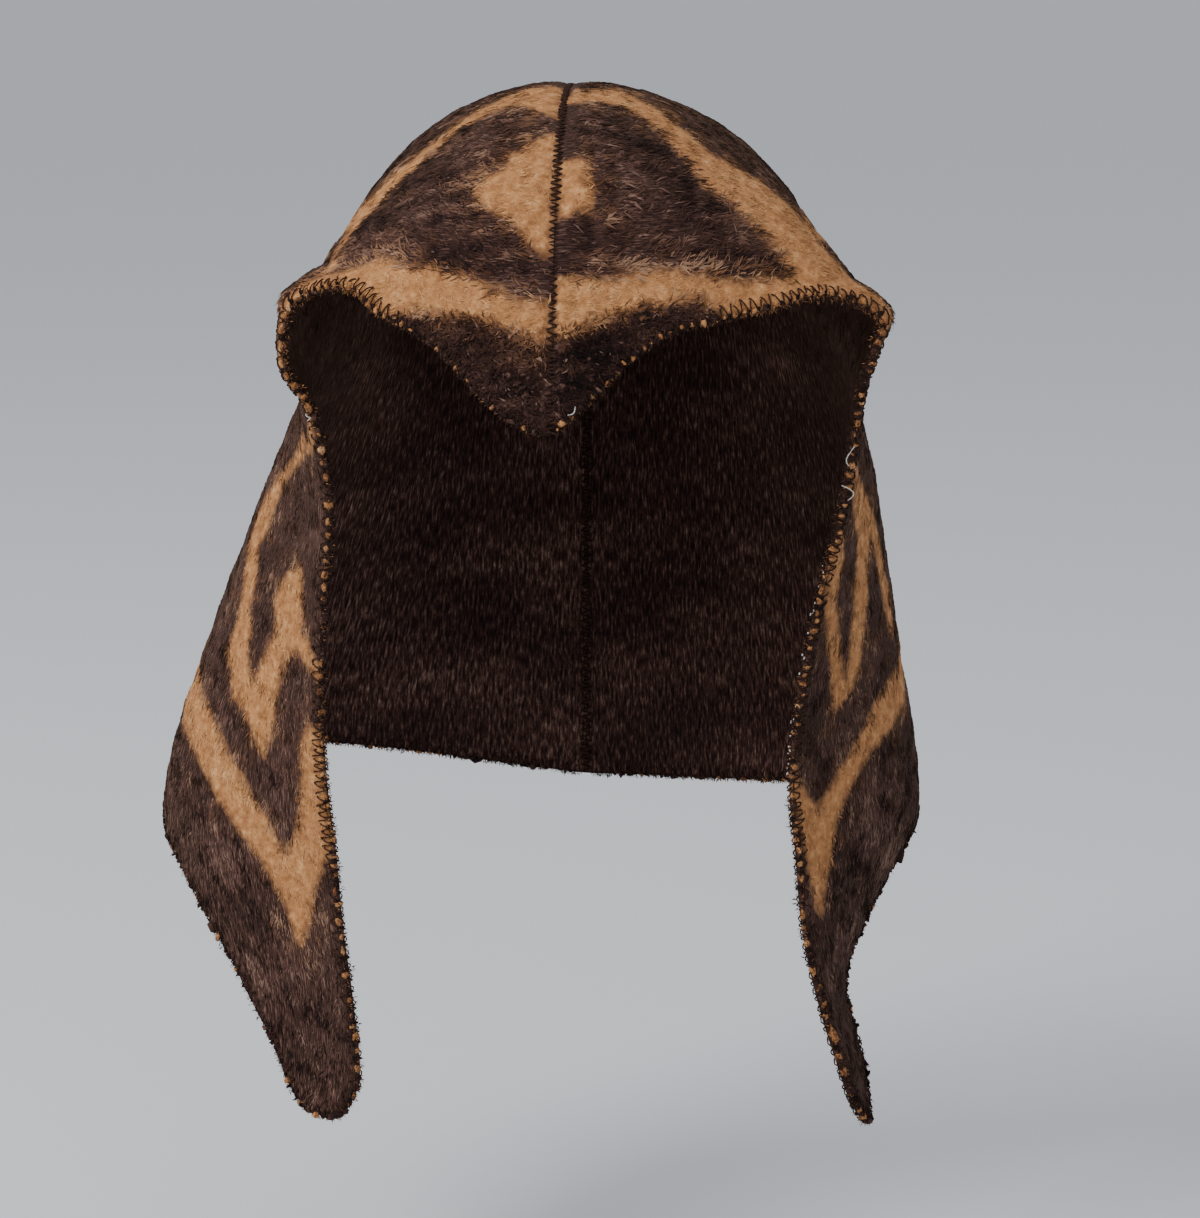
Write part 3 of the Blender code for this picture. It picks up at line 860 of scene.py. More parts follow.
# %% The cloth's material
def wool_cloth(name):
    """Brown and tan wool picked by the frayed distance. The inner face is all brown."""
    material, tree, shader = new_material(name, WOOL_FINISH)
    place = add_node(tree, "ShaderNodeTexCoord").outputs["Object"]
    flat = add_node(tree, "ShaderNodeUVMap", {"uv_map": "cloth"}).outputs[0]
    tan, patch, outward, curly, outside = (
        add_node(tree, "ShaderNodeAttribute", {"attribute_name": n}).outputs["Fac"]
        for n in ("tan", "patch", "outward", "curly", "outside")
    )
    locks = add_node(tree, "ShaderNodeMix", {"data_type": "FLOAT"}, {
        0: outward, 2: lock_noise(tree, flat, True),
        3: lock_noise(tree, flat, False)}).outputs[0]
    tufts = add_node(tree, "ShaderNodeTexNoise", inputs={
        "Vector": place, "Scale": TUFTS, "Detail": 4.0, "Roughness": 0.65}).outputs["Fac"]
    locks = add_node(tree, "ShaderNodeMix", {"data_type": "FLOAT"}, {
        0: curly, 2: locks, 3: tufts}).outputs[0]

    # Where the two wools meet
    fray = add_node(tree, "ShaderNodeMath", {"operation": "MULTIPLY_ADD"}, {
        0: tufts, 1: FRAY, 2: -FRAY / 2}).outputs[0]
    reach = add_node(tree, "ShaderNodeMath", {"operation": "ADD"}, {0: tan, 1: fray}).outputs[0]
    in_tan = add_node(tree, "ShaderNodeMapRange", inputs={
        "Value": reach, "From Min": -BORDER, "From Max": BORDER}).outputs[0]
    tan_share = add_node(tree, "ShaderNodeMath", {"operation": "MULTIPLY"}, {
        0: in_tan, 1: outside}).outputs[0]

    # Lightness: locks and patches in the brown wool; in the tan one, painted shade of soft tufts
    tan_light = add_node(tree, "ShaderNodeMath", {"operation": "MULTIPLY_ADD"}, {
        0: tufts, 1: TUFT_SHADE_GAIN, 2: TUFT_SHADE_OFFSET}).outputs[0]
    light = add_node(tree, "ShaderNodeMath", {"operation": "MULTIPLY_ADD"}, {
        0: locks, 1: LOCK_GAIN, 2: LOCK_OFFSET}).outputs[0]
    light = add_node(tree, "ShaderNodeMath", {"operation": "MULTIPLY_ADD"}, {
        0: patch, 1: PATCH_LIGHT, 2: light}).outputs[0]
    colour = add_node(tree, "ShaderNodeMix", {"data_type": "RGBA"}, {
        0: tan_share,
        MIX_A: wool_blend(tree, light, BROWN_WOOL),
        MIX_B: wool_blend(tree, tan_light, TAN_WOOL)})
    tree.links.new(colour.outputs[MIX_RESULT], shader.inputs["Base Color"])

    height = add_node(tree, "ShaderNodeMath", {"operation": "ADD"}, {0: locks, 1: tufts})
    bump = add_node(tree, "ShaderNodeBump", inputs={
        "Strength": 0.9, "Distance": CLOTH_RELIEF, "Height": height.outputs[0]})
    tree.links.new(bump.outputs[0], shader.inputs["Normal"])
    return material


cloth_materials = {side: wool_cloth(f"fulled_wool_blanket_{side}") for side in SIDES}
print("materials:", [m.name for m in cloth_materials.values()])


# %% Points and faces of a panel
def panel_points(side):
    """(q, drop) of all points, the apex first, and the numbers of the crown's and the skirt's
    grids."""
    (crown_q, crown_drop), (skirt_q, skirt_drop) = panel_lattice(side)
    q = np.concatenate([[0.0], crown_q[1:].ravel(), skirt_q.ravel()])
    drop = np.concatenate([[0.0], crown_drop[1:].ravel(), skirt_drop.ravel()])
    crown = weave_index(crown_q.shape[0] - 1, crown_q.shape[1], 1)
    skirt = weave_index(*skirt_q.shape, 1 + crown.size)
    return q, drop, crown, skirt


def panel_rim(crown, skirt):
    """Numbers of the points round a panel: front seam, brow, lappet, hem and back seam."""
    brow = crown.shape[1] - skirt.shape[1]
    back_seam = np.concatenate([crown[:, -1], skirt[:, -1]])
    return np.concatenate(
        [
            [0], crown[:, 0], crown[-1, 1 : brow + 1], skirt[:, 0], skirt[-1, 1:],
            back_seam[-2::-1],
        ]
    )


def rim_loops(side, inner, outer):
    """Two loops of points between the edges of both faces. They stand out by the bulge, except
    in the seam, square to the rim and to the way from one face to the other."""
    across = outer - inner
    along = unit(np.roll(outer, 1, axis=0) - np.roll(outer, -1, axis=0))
    away = np.cross(along, unit(across)) * -HAND[side]
    free = (np.abs(inner[:, 0]) > 1e-6)[:, None]
    return [inner + across * share + away * RIM_BULGE * free for share in (0.25, 0.75)]


def shell_faces(side, crown, skirt, rim, count):
    """Triangles round the apex, and squares: the inner face, the outer one turned over, and
    three rows between them round the rim. count is the number of points of one face."""
    columns = crown.shape[1]
    fan = np.stack([np.zeros(columns - 1, int), crown[0, :-1], crown[0, 1:]], axis=-1)
    hanging = np.vstack([crown[-1, columns - skirt.shape[1] :], skirt])
    quads = np.concatenate([grid_quads(crown), grid_quads(hanging)])

    first = count + 2 * len(rim)
    rings = np.vstack([rim, weave_index(2, len(rim), count), rim + first])
    edge = grid_quads(np.column_stack([rings, rings[:, 0]]))[:, ::-1]
    triangles = np.concatenate([fan, fan[:, ::-1] + first])
    squares = np.concatenate([quads, quads[:, ::-1] + first, edge])
    if side == "right":
        triangles, squares = triangles[:, ::-1], squares[:, ::-1]
    return [triangles, squares]


print("points round the left panel:", len(panel_rim(*panel_points("left")[2:])))


# %% Make the two panels
def make_panel(side):
    """Inner face, two loops round the rim and outer face, sewn into one closed shell."""
    q, drop, crown, skirt = panel_points(side)
    inner, outer = felt_faces(side, q, drop)
    rim = panel_rim(crown, skirt)
    points = np.concatenate([inner, *rim_loops(side, inner[rim], outer[rim]), outer])
    faces = shell_faces(side, crown, skirt, rim, len(q))

    every = np.concatenate([np.arange(len(q)), rim, rim, np.arange(len(q))])
    # The rim stays brown as well, partly for the dark thread and partly as painted shade
    outside = np.arange(len(points)) >= len(points) - len(q)  # the outer face comes last
    values = (
        ("tan", tan_distance(side, q, drop)[every]),
        ("patch", patches(side, q, drop)[every]),
        ("outward", outward_share(q, drop)[every]),
        ("curly", point_share(q, drop)[every]),
        ("outside", outside),
    )
    flat = np.stack(cloth_place(q, drop), axis=-1)[every]
    piece = add_piece(f"felt_{side}", points, faces, cloth_materials[side], values, flat=flat)
    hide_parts(f"panel_{side}")
    return piece


panels = {side: make_panel(side) for side in SIDES}

# %% [markdown]
# ## The raised nap
#
# Blanket cloth is brushed with wire after weaving, which draws fibres out of the web. On the
# front of the crown they lie outward from the seam, elsewhere they hang, and on the tan wool and
# the brow point they curl. Hair strands would not survive as a mesh, so each lock is a tiny
# closed leaf of four triangles: a root in the cloth, two shoulders and a tip. A leaf is about
# 0.2 mm wide and 2 to 7 mm long, and stands for a few real fibres.

# %% Scatter roots evenly over the cloth
NAP_LEAVES = {"crown": 31000, "point": 1600, "lappet": 49000}
INNER_LEAVES = {"crown": 3600, "lappet": 6000}
POINT_ROW, POINT_COLUMNS = 40, 21  # the part of the crown's grid that holds the brow point
print("leaves on a panel:", sum(NAP_LEAVES.values()), "and inside", sum(INNER_LEAVES.values()))


def scatter(side, part, count, random):
    """Random places of equal density: a cell is drawn by its area, then a place in it."""
    crown, skirt = panel_lattice(side)
    hanging = skirt[0].shape[1]
    q, drop = {
        "crown": crown,
        "point": [grid[POINT_ROW:, :POINT_COLUMNS] for grid in crown],
        "lappet": [np.vstack([crown[k][-1:, -hanging:], skirt[k]]) for k in (0, 1)],
    }[part]
    points = head_point(side, q, drop)
    one, two = points[1:, 1:] - points[:-1, :-1], points[1:, :-1] - points[:-1, 1:]
    area = np.linalg.norm(np.cross(one, two), axis=-1).ravel() / 2
    cell = np.searchsorted(np.cumsum(area) / area.sum(), random.random(count))
    row, column = np.divmod(np.minimum(cell, area.size - 1), q.shape[1] - 1)
    u, v = random.random((2, count))

    def blend(grid):
        """Bilinear: along the upper and the lower side by u, then between them by v."""
        upper = grid[row, column] * (1 - u) + grid[row, column + 1] * u
        lower = grid[row + 1, column] * (1 - u) + grid[row + 1, column + 1] * u
        return upper * (1 - v) + lower * v

    return blend(q), blend(drop)


# %% The shape of a leaf
SHOULDER = 0.45  # how far along the leaf its shoulders are, as a share of its length
TIP_LIFT = 0.3  # height of the tip, as a share of theirs
UP_THE_LEAF = (0.0, 0.6, 1.0, 0.6)  # from the root's shade to the tip's light, for each point


def leaves(root, along, out, length, width, lift, bend):
    """Four points a leaf: the root, two shoulders, raised by lift and moved sideways by bend
    times the length, and the tip."""
    across = np.cross(out, along)
    middle = root + along * (SHOULDER * length) + out * lift + across * bend * length
    tip = root + along * length + out * (TIP_LIFT * lift)
    half = across * (width / 2)
    points = np.stack([root, middle - half, tip, middle + half], axis=1)
    corners = np.array([[0, 1, 3], [2, 3, 1], [0, 2, 1], [2, 0, 3]])
    faces = np.arange(len(root))[:, None, None] * 4 + corners
    return points.reshape(-1, 3), faces.reshape(-1, 3)


def leaf_values(light, dye):
    """The numbers that the material reads, for each of a leaf's four points."""
    return (
        ("light", np.repeat(light, 4)),
        ("dye", np.repeat(dye, 4)),
        ("tip", np.tile(UP_THE_LEAF, len(light))),
    )


# %% Which way the nap lies, in degrees from straight down, positive towards the back
OUTWARD_TURN = 80
BACK_TURN = -35  # of the back of the crown, which leaves the seam at a slant
HANG_TURN = 8
SWIRL_TURN = 26
SWIRLS = (0.014, 0.032)


def nap_angle(side, q, drop):
    """The turn of each part times its share, and slow swirls."""
    back = BACK_TURN * smooth_step(q - 2.0) * crown_share(drop)
    swirl = SWIRL_TURN * ripple(head_point(side, q, drop), SWIRLS, 11)
    return OUTWARD_TURN * outward_share(q, drop) + back + HANG_TURN + swirl


probe = nap_angle("left", np.array([0.3, 1.5]), np.array([0.03, 0.20]))
print("the nap's direction on the brow and on the lappet:", np.round(probe), "degrees")

# %% Kinds of nap
NAP_KINDS = {  # shortest and longest, width, lift, spread of the direction in degrees, bend
    "crown": (0.0034, 0.0068, 0.00025, 0.00036, 25, 0.085),
    "lappet": (0.0026, 0.0050, 0.00021, 0.00028, 18, 0.06),
    "point": (0.0020, 0.0038, 0.00026, 0.00065, 55, 0.16),
    "tan": (0.0022, 0.0044, 0.00024, 0.00022, 34, 0.10),
}
print("kinds of nap:", list(NAP_KINDS))


def nap_kind(q, drop, tan, random):
    """The row of numbers of each leaf: with depth the crown's kind gives way to the lappets',
    and the brow point and the tan fleece have their own."""
    crown = random.random(len(q)) < crown_share(drop)
    rows = np.where(crown[:, None], NAP_KINDS["crown"], NAP_KINDS["lappet"])
    rows[(drop > CROWN_END) & (q < 0.6)] = NAP_KINDS["point"]
    rows[tan > 0] = NAP_KINDS["tan"]
    return rows.T


# %% [markdown]
# ### Which wool, and how light
#
# Brushing pulls fibres of one wool over the other, so the border of a woven band is ragged. Each
# leaf's distance to the tan wool is disturbed a little before it picks a wool, and single tan
# fibres stray further. How light a leaf is follows streaks, and the same patches as the cloth
# under it.

# %% Where the two wools meet in the nap
BORDER_WAVER = 1.1  # mm by which the border wavers
WAVER_SIZES = (0.003, 0.009)  # metres along it
BORDER_SCATTER = 0.9  # mm by which it differs from leaf to leaf
ALL_BROWN = 99.0  # mm to the nearest tan wool, inside
BLEND_HALF = 2.8  # mm on each side of a border over which the two wools mix
STRAY_SHARE = 0.34  # of tan in the brown wool right beside a band
STRAY_REACH = 5.0  # mm over which that falls to a third


def nap_tan(side, q, drop, inside, random):
    """Signed distance in mm to the tan wool, with an uneven border."""
    tan = tan_distance(side, q, drop) - (ALL_BROWN if inside else 0)
    tan += BORDER_SCATTER * random.normal(size=len(q))
    return tan + BORDER_WAVER * ripple(head_point(side, q, drop), WAVER_SIZES, 21)


# %% How light each leaf is within its blend, from 0 to 1
BROWN_LIGHT = 0.40
FINE_LIGHT, COARSE_LIGHT = 0.15, 0.13  # by the streaks
FINE_WIDTHS, COARSE_WIDTHS = (0.0014, 0.0040), (0.004, 0.011)
TIP_STREAKS = 1.2  # how much stronger they are towards the tips of the lappets
# Tan tufts lighter on top and darker in the creases between them, as painted shade
TAN_LIGHT, TUFT_PAINTED_SHADE = 0.43, 0.20
TUFT_SIZES = (0.003, 0.008)
LEAF_LIGHT = 0.07  # from leaf to leaf, in both wools
POINT_SHADE = 0.10  # how much darker the brow point is
# Painted shade along the hem of the lappets: how much darker, and how far it reaches
HEM_PAINTED_SHADE = 0.26  # and the hem of the lappets
HEM_REACH = 0.030  # metres over which that fades
STRAY_LIGHT = 0.4  # how much a stray tan fibre lightens the brown beside it
PALE_SHARE = 0.008  # of the hairs
PALE_LIGHT = 0.76
LIGHT_LIMIT = 0.79  # of all the others


def brown_light(side, q, drop, coarse, contrast, random):
    """Streaks, patches and a chance for each leaf. The tips of the lappets are streakier and
    darker at the hem, where the darkening is painted shade, and the brow point is darker."""
    fine = streaks(side, q, drop, FINE_WIDTHS)
    uneven = FINE_LIGHT * fine + COARSE_LIGHT * coarse + PATCH_LIGHT * patches(side, q, drop)
    streaky = contrast * (1 + TIP_STREAKS * smooth_step((drop - 0.20) / 0.08))
    leaf = LEAF_LIGHT * contrast * random.normal(size=len(q))
    # Painted shade, darkest at the lappets' hem and fading away from it
    hem = np.exp(-(((hem_drop(side, q) - drop) / HEM_REACH) ** 2))
    hem = hem * smooth_step((drop - 0.24) / 0.05)  # on the lappets, not along the nape
    shade = POINT_SHADE * point_share(q, drop) + HEM_PAINTED_SHADE * hem
    return BROWN_LIGHT + uneven * streaky + leaf - shade


def nap_colour(side, q, drop, tan, inside, contrast, random):
    """(light, dye) of each leaf. Tan fibres stray into the brown wool beside a band, in
    streaks, and a few hairs are pale."""
    coarse = streaks(side, q, drop, COARSE_WIDTHS)
    brown = brown_light(side, q, drop, coarse, contrast, random)
    # Painted shade of the tan tufts and the creases between them
    tufts = ripple(head_point(side, q, drop), TUFT_SIZES, 24)
    tan_light = TAN_LIGHT + TUFT_PAINTED_SHADE * tufts + LEAF_LIGHT * random.normal(size=len(q))
    stray = STRAY_SHARE * np.exp(np.minimum(tan, 0) / STRAY_REACH) * np.clip(0.5 + coarse, 0, 1.4)
    stray = stray * (not inside)
    dye = np.maximum(smooth_step(0.5 + tan / BLEND_HALF / 2), stray)
    light = np.where(tan > 0, tan_light, brown) + STRAY_LIGHT * stray
    pale = random.random(len(q)) < PALE_SHARE * contrast
    light = np.where(pale, PALE_LIGHT, np.minimum(light, LIGHT_LIMIT))
    return np.clip(light, 0, 1), dye


# %% Lay the leaves
SEAM_CLEAR = 0.0006  # no nap nearer to the seam than this
EDGE_CLEAR = 0.0006  # nor to a cut edge
APEX_CLEAR = 0.0002  # nor this near to the top, where all columns meet
SHORTEST = 0.0014  # a leaf with less room is left out
AT_A_SLANT = 1.4  # how much longer than its distance to a cut edge a leaf may be
WIDTHS, LIFTS = (0.6, 1.35), (0.2, 1.8)  # from leaf to leaf, as shares of its kind's
ROOT_DEPTH = 0.0002
NORMAL_SPREAD = 0.18  # how unevenly the nap catches the light, leaf beside leaf
LENGTHWAYS = 0.6  # share of that along the leaf


def leaf_room(side, q, drop, inner, along, length):
    """The length, cut to stop short of the cut edges and of the seam."""
    edge = edge_distance(side, q, drop) - EDGE_CLEAR
    length = np.minimum(length, np.maximum(edge * AT_A_SLANT, 0))
    seam = np.abs(inner[:, 0]) - SEAM_CLEAR
    inbound = np.maximum(-along[:, 0] * HAND[side], 1e-3)
    return np.minimum(length, np.maximum(seam, 0) / inbound)


def lay_nap(side, part, count, seed, inside=False, contrast=1.0):
    """All leaves of one part of a panel: points, faces, three numbers for each point, and the
    direction each point is shaded for, which is nearly that of the cloth, as in soft fur."""
    random = np.random.default_rng(seed)
    q, drop = scatter(side, part, count, random)
    tan = nap_tan(side, q, drop, inside, random)
    low, high, width, lift, spread, bend = nap_kind(q, drop, tan, random)

    # Lay each leaf in the plane of the cloth, down it and turned by its angle
    inner, round_, down, out = felt_frame(side, q, drop)
    round_ = unit(round_ - down * (round_ * down).sum(-1, keepdims=True))
    angle = np.radians(nap_angle(side, q, drop) + spread * random.normal(size=count))
    along = down * np.cos(angle)[:, None] + round_ * np.sin(angle)[:, None]
    length = low + (high - low) * random.random(count)
    width = width * random.uniform(*WIDTHS, count)
    lift = lift * random.uniform(*LIFTS, count)
    bend = bend * random.normal(size=count)
    length = leaf_room(side, q, drop, inner, along, length)
    keep = (length > SHORTEST) & (drop > APEX_CLEAR)

    inner_face, outer_face = felt_faces(side, q, drop)
    away = -out if inside else out
    base = (inner_face if inside else outer_face) - away * ROOT_DEPTH
    columns = [number[keep, None] for number in (length, width, lift, bend)]
    points, faces = leaves(base[keep], along[keep], away[keep], *columns)

    light, dye = nap_colour(side, q, drop, tan, inside, contrast, random)
    sideways, lengthways = NORMAL_SPREAD * random.normal(size=(2, count, 1))
    tilt = sideways * np.cross(away, along) + LENGTHWAYS * lengthways * along
    normals = unit(away + tilt)[keep]
    return points, faces, leaf_values(light[keep], dye[keep]), np.repeat(normals, 4, axis=0)


# %% [markdown]
# ## Colour of the nap
#
# Each leaf carries which wool it is and how light it is within its blend. Leaves of one streak
# are alike, with a few pale hairs among them. The root lies in the shade of its neighbours, so
# it is darker than the tip.


# %% The nap's material
def nap_wool(name, root_light, tip_light):
    """The two blends by dye, darkened from tip to root by painted shade."""
    material, tree, shader = new_material(name, WOOL_FINISH)
    light, dye, tip = (
        add_node(tree, "ShaderNodeAttribute", {"attribute_name": n}).outputs["Fac"]
        for n in ("light", "dye", "tip")
    )
    wool = add_node(tree, "ShaderNodeMix", {"data_type": "RGBA"}, {
        0: dye, MIX_A: wool_blend(tree, light, BROWN_WOOL),
        MIX_B: wool_blend(tree, light, TAN_WOOL)})
    shade = add_node(tree, "ShaderNodeMapRange", inputs={
        "Value": tip, "To Min": root_light, "To Max": tip_light})
    grey = add_node(tree, "ShaderNodeCombineColor", inputs={
        channel: shade.outputs[0] for channel in (0, 1, 2)})
    colour = add_node(tree, "ShaderNodeMix", {"data_type": "RGBA", "blend_type": "MULTIPLY"}, {
        0: 1.0, MIX_A: wool.outputs[MIX_RESULT], MIX_B: grey.outputs[0]})
    tree.links.new(colour.outputs[MIX_RESULT], shader.inputs["Base Color"])
    return material


nap_outside = nap_wool("brushed_wool_nap", 0.70, 1.0)
# Painted shade: outside only the roots are darker, inside the hat the whole nap is
nap_inside = nap_wool("inner_wool_nap_painted_shade", 0.46, 0.62)
INNER_CONTRAST = 0.3  # of the streaks inside, where wear has matted them
print("nap materials:", nap_outside.name, nap_inside.name)

# %% Put the nap on both panels
extras = {side: [] for side in SIDES}
for side in SIDES:
    for seed, (part, count) in enumerate(NAP_LEAVES.items(), 100):
        points, faces, values, normals = lay_nap(side, part, count, seed)
        piece = add_piece(f"nap_{side}_{part}", points, [faces], nap_outside, values, normals)
        extras[side].append(piece)
    for seed, (part, count) in enumerate(INNER_LEAVES.items(), 200):
        points, faces, values, normals = lay_nap(side, part, count, seed, True, INNER_CONTRAST)
        name = f"inner_nap_{side}_{part}"
        extras[side].append(add_piece(name, points, [faces], nap_inside, values, normals))

# %% [markdown]
# ## Threads
#
# All threads are the same shape with other numbers: a short path, a round section carried along
# it, and both ends closed. Building all paths of a kind as one array keeps that quick.


# %% Tubes along many paths at once
def tubes(paths, radius, sides):
    """paths is an array (tubes, stations, 3). At each station the section is a ring round the
    path's tangent; its first direction is square to the tangent and to the path's own bend."""
    tangent = unit(np.gradient(paths, axis=1))
    bend = paths.mean(axis=1, keepdims=True) - (paths[:, :1] + paths[:, -1:]) / 2
    bend = bend + np.array([1e-5, 2e-5, 3e-5])  # so that a straight path has one too
    first = unit(np.cross(tangent, np.broadcast_to(bend, paths.shape)))[:, :, None]
    second = np.cross(first[:, :, 0], tangent)[:, :, None]
    angle = (np.arange(sides) * 2 * math.pi / sides)[:, None]
    ring = paths[:, :, None] + radius * (np.cos(angle) * first + np.sin(angle) * second)
    ids = np.arange(ring.size // 3).reshape(ring.shape[:3])
    after = np.roll(ids, -1, axis=2)
    walls = np.stack([ids[:, :-1], after[:, :-1], after[:, 1:], ids[:, 1:]], axis=-1)
    caps = np.concatenate([ids[:, 0, ::-1], ids[:, -1]])
    return ring.reshape(-1, 3), [walls.reshape(-1, 4), caps]


# %% Yarn materials
YARN_LUMPS = 2200.0  # in a metre of thread, which makes one about 0.45 mm long


def yarn(name, dark, light):
    """Spun yarn: fine noise breaks the colour, and its relief roughens the thread."""
    material, tree, shader = new_material(name, WOOL_FINISH)
    place = add_node(tree, "ShaderNodeTexCoord").outputs["Object"]
    fuzz = add_node(tree, "ShaderNodeTexNoise", inputs={
        "Vector": place, "Scale": YARN_LUMPS, "Detail": 2.0, "Roughness": 0.7})
    share = add_node(tree, "ShaderNodeMapRange", inputs={
        "Value": fuzz.outputs["Fac"], "From Min": 0.35, "From Max": 0.65})
    colour = add_node(tree, "ShaderNodeMix", {"data_type": "RGBA"}, {
        0: share.outputs[0], MIX_A: linear(dark), MIX_B: linear(light)})
    tree.links.new(colour.outputs[MIX_RESULT], shader.inputs["Base Color"])
    bump = add_node(tree, "ShaderNodeBump", inputs={
        "Strength": 0.6, "Distance": 0.0003, "Height": fuzz.outputs["Fac"]})
    tree.links.new(bump.outputs[0], shader.inputs["Normal"])
    return material


# The dark yarn's lighter colour is partly its own fibres and partly painted highlights of its
# sheen
dark_yarn = yarn("spun_dark_wool_yarn", "#0d0605", "#412b24")
white_cotton = yarn("bleached_cotton_thread", "#9b938a", "#e9e4dc")
print("yarns:", dark_yarn.name, white_cotton.name)

# %% [markdown]
# ### The oversewn edge
#
# An overlock of dark wool binds every cut edge: seen from the front the legs make a row of
# round loops. On the rim they cross and bunch up in a dark knot, and between two knots the cloth
# swells out in a small puff. The edge is walked in steps of one stitch, a little uneven as sewn
# by eye, and every stitch asks the cloth for its points on both faces, so it follows the hat
# however it bends.


# %% Walk round the cut edge
def edge_walk(side):
    """(q, drop, metres walked) along brow, front of the lappet, tip and nape."""
    brow_q = np.linspace(0.0, 1.0, 400)
    front_drop = np.linspace(CORNER_DROP[side], hem_drop(side, 1.0), 600)[1:]
    hem_q = np.linspace(1.0, 3.0, 900)[1:]
    q = np.concatenate([brow_q, np.full(len(front_drop), 1.0), hem_q])
    drop = np.concatenate([brow_drop(side, brow_q), front_drop, hem_drop(side, hem_q)])
    steps = np.linalg.norm(np.diff(head_point(side, q, drop), axis=0), axis=1)
    return q, drop, np.concatenate([[0], np.cumsum(steps)])


EDGES = {side: edge_walk(side) for side in SIDES}
EDGE_STEP = 0.0006  # metres before and after a place, from which its direction is taken
for side in SIDES:
    print(f"cut edge {side}: {EDGES[side][2][-1] * MM:.0f} mm")


# %% Points near the cut edge
def edge_frames(side, at):
    """At metres along the edge: place, directions along it and into the cloth, and by how much
    q and drop change for a metre into the cloth."""
    q, drop, walked = EDGES[side]
    spots = [np.clip(at + step, 0, walked[-1]) for step in (0.0, EDGE_STEP, -EDGE_STEP)]
    places = [(np.interp(spot, walked, q), np.interp(spot, walked, drop)) for spot in spots]
    along = unit(head_point(side, *places[1]) - head_point(side, *places[2]))
    here_q, here_drop = places[0]
    out = felt_frame(side, here_q, here_drop)[3]
    inward = np.cross(out, along) * HAND[side]
    # Solve inward = a * by_q + b * by_drop for a and b, from its products with both
    by_q, by_drop = slopes(side, here_q, here_drop)
    size_q, size_drop, shared = (
        (one * two).sum(-1) for one, two in ((by_q, by_q), (by_drop, by_drop), (by_q, by_drop))
    )
    in_q, in_drop = (by_q * inward).sum(-1), (by_drop * inward).sum(-1)
    whole = size_q * size_drop - shared**2
    turn_q = (in_q * size_drop - in_drop * shared) / whole
    turn_drop = (in_drop * size_q - in_q * shared) / whole
    return here_q, here_drop, along, inward, turn_q, turn_drop


def near_edge(side, at, inset, depth):
    """Points inset metres into the cloth, or beyond its rim if negative, and depth from 0 on
    the inner face to 1 on the outer one, with the direction out of the cloth."""
    at, inset, depth = np.broadcast_arrays(at, inset, depth)
    q, drop, along, inward, turn_q, turn_drop = edge_frames(side, at)
    into = np.maximum(inset, 0)
    moved_q = np.clip(q + into * turn_q, 0, 3)
    base, _, _, out = felt_frame(side, moved_q, np.maximum(drop + into * turn_drop, 0))
    base = base + inward * np.minimum(inset, 0)[..., None]
    return base + out * (depth * FELT)[..., None], out


probe = near_edge("left", 0.05, 0.002, 1.0)[0]
print("2 mm in from the brow's edge, 5 cm from the seam:", np.round(probe, 4))

# %% Places of the stitches
BROW_STITCH = 0.0034
HEM_STITCH = 0.0040
SWELLS = (0.019, 0.033, 0.051)  # lengths along the edge over which the stitches grow and shrink
UNEVEN = 0.10  # share by which each of them changes a stitch, and by which one is out of place
FRONT_STITCH = {  # drop and stitch length on the front edge of each lappet
    "left": ((0.070, 0.0038), (0.100, 0.0050), (0.195, 0.0050), (0.210, 0.0030),
             (0.245, 0.0030), (0.262, 0.0048), (0.334, 0.0048)),
    "right": ((0.070, 0.0040), (0.120, 0.0034), (0.235, 0.0034), (0.265, 0.0052),
              (0.333, 0.0066)),
}


def stitch_places(side, seed):
    """Metres along the edge of each stitch, and its length: one more stitch each time that the
    walked length over the local stitch length has grown by one."""
    q, drop, walked = EDGES[side]
    random = np.random.default_rng(seed)
    stitch = np.interp(drop, *np.array(FRONT_STITCH[side]).T)
    stitch = np.where(q < 0.999, BROW_STITCH, np.where(q > 1.001, HEM_STITCH, stitch))
    for swell in SWELLS:
        wave = np.sin(walked * 2 * math.pi / swell + 6 * random.random())
        stitch = stitch * (1 + UNEVEN * wave)
    sewn = np.concatenate([[0], np.cumsum(np.diff(walked) / stitch[1:])])
    number = np.arange(1, int(sewn[-1]) - 1) + UNEVEN * random.normal(size=int(sewn[-1]) - 2)
    return np.interp(number, sewn, walked), np.interp(number, sewn, stitch)


stitches = {side: stitch_places(side, 40) for side in SIDES}
print("stitches:", {side: len(stitches[side][0]) for side in SIDES})

# %% Overlock legs
LEG_DEPTH = 0.0033  # how far a leg reaches into the face
THREAD = 0.00027  # radius of the sewing wool
SLANT = 0.0004  # how far a leg leans along the edge
SEAM_STOP = 0.0003  # no leg comes nearer to the other panel
LEG_PATH = (  # share of the stitch, share of the depth, cloths out
    (0.00, 1.00, 1.06),
    (0.10, 0.94, 1.12),
    (0.21, 0.66, 1.16),
    (0.31, 0.18, 1.12),
    (0.42, -0.14, 0.78),
    (0.58, -0.14, 0.22),
    (0.70, 0.10, -0.10),
    (0.86, 0.60, -0.14),
    (1.00, 1.00, 0.02),
)


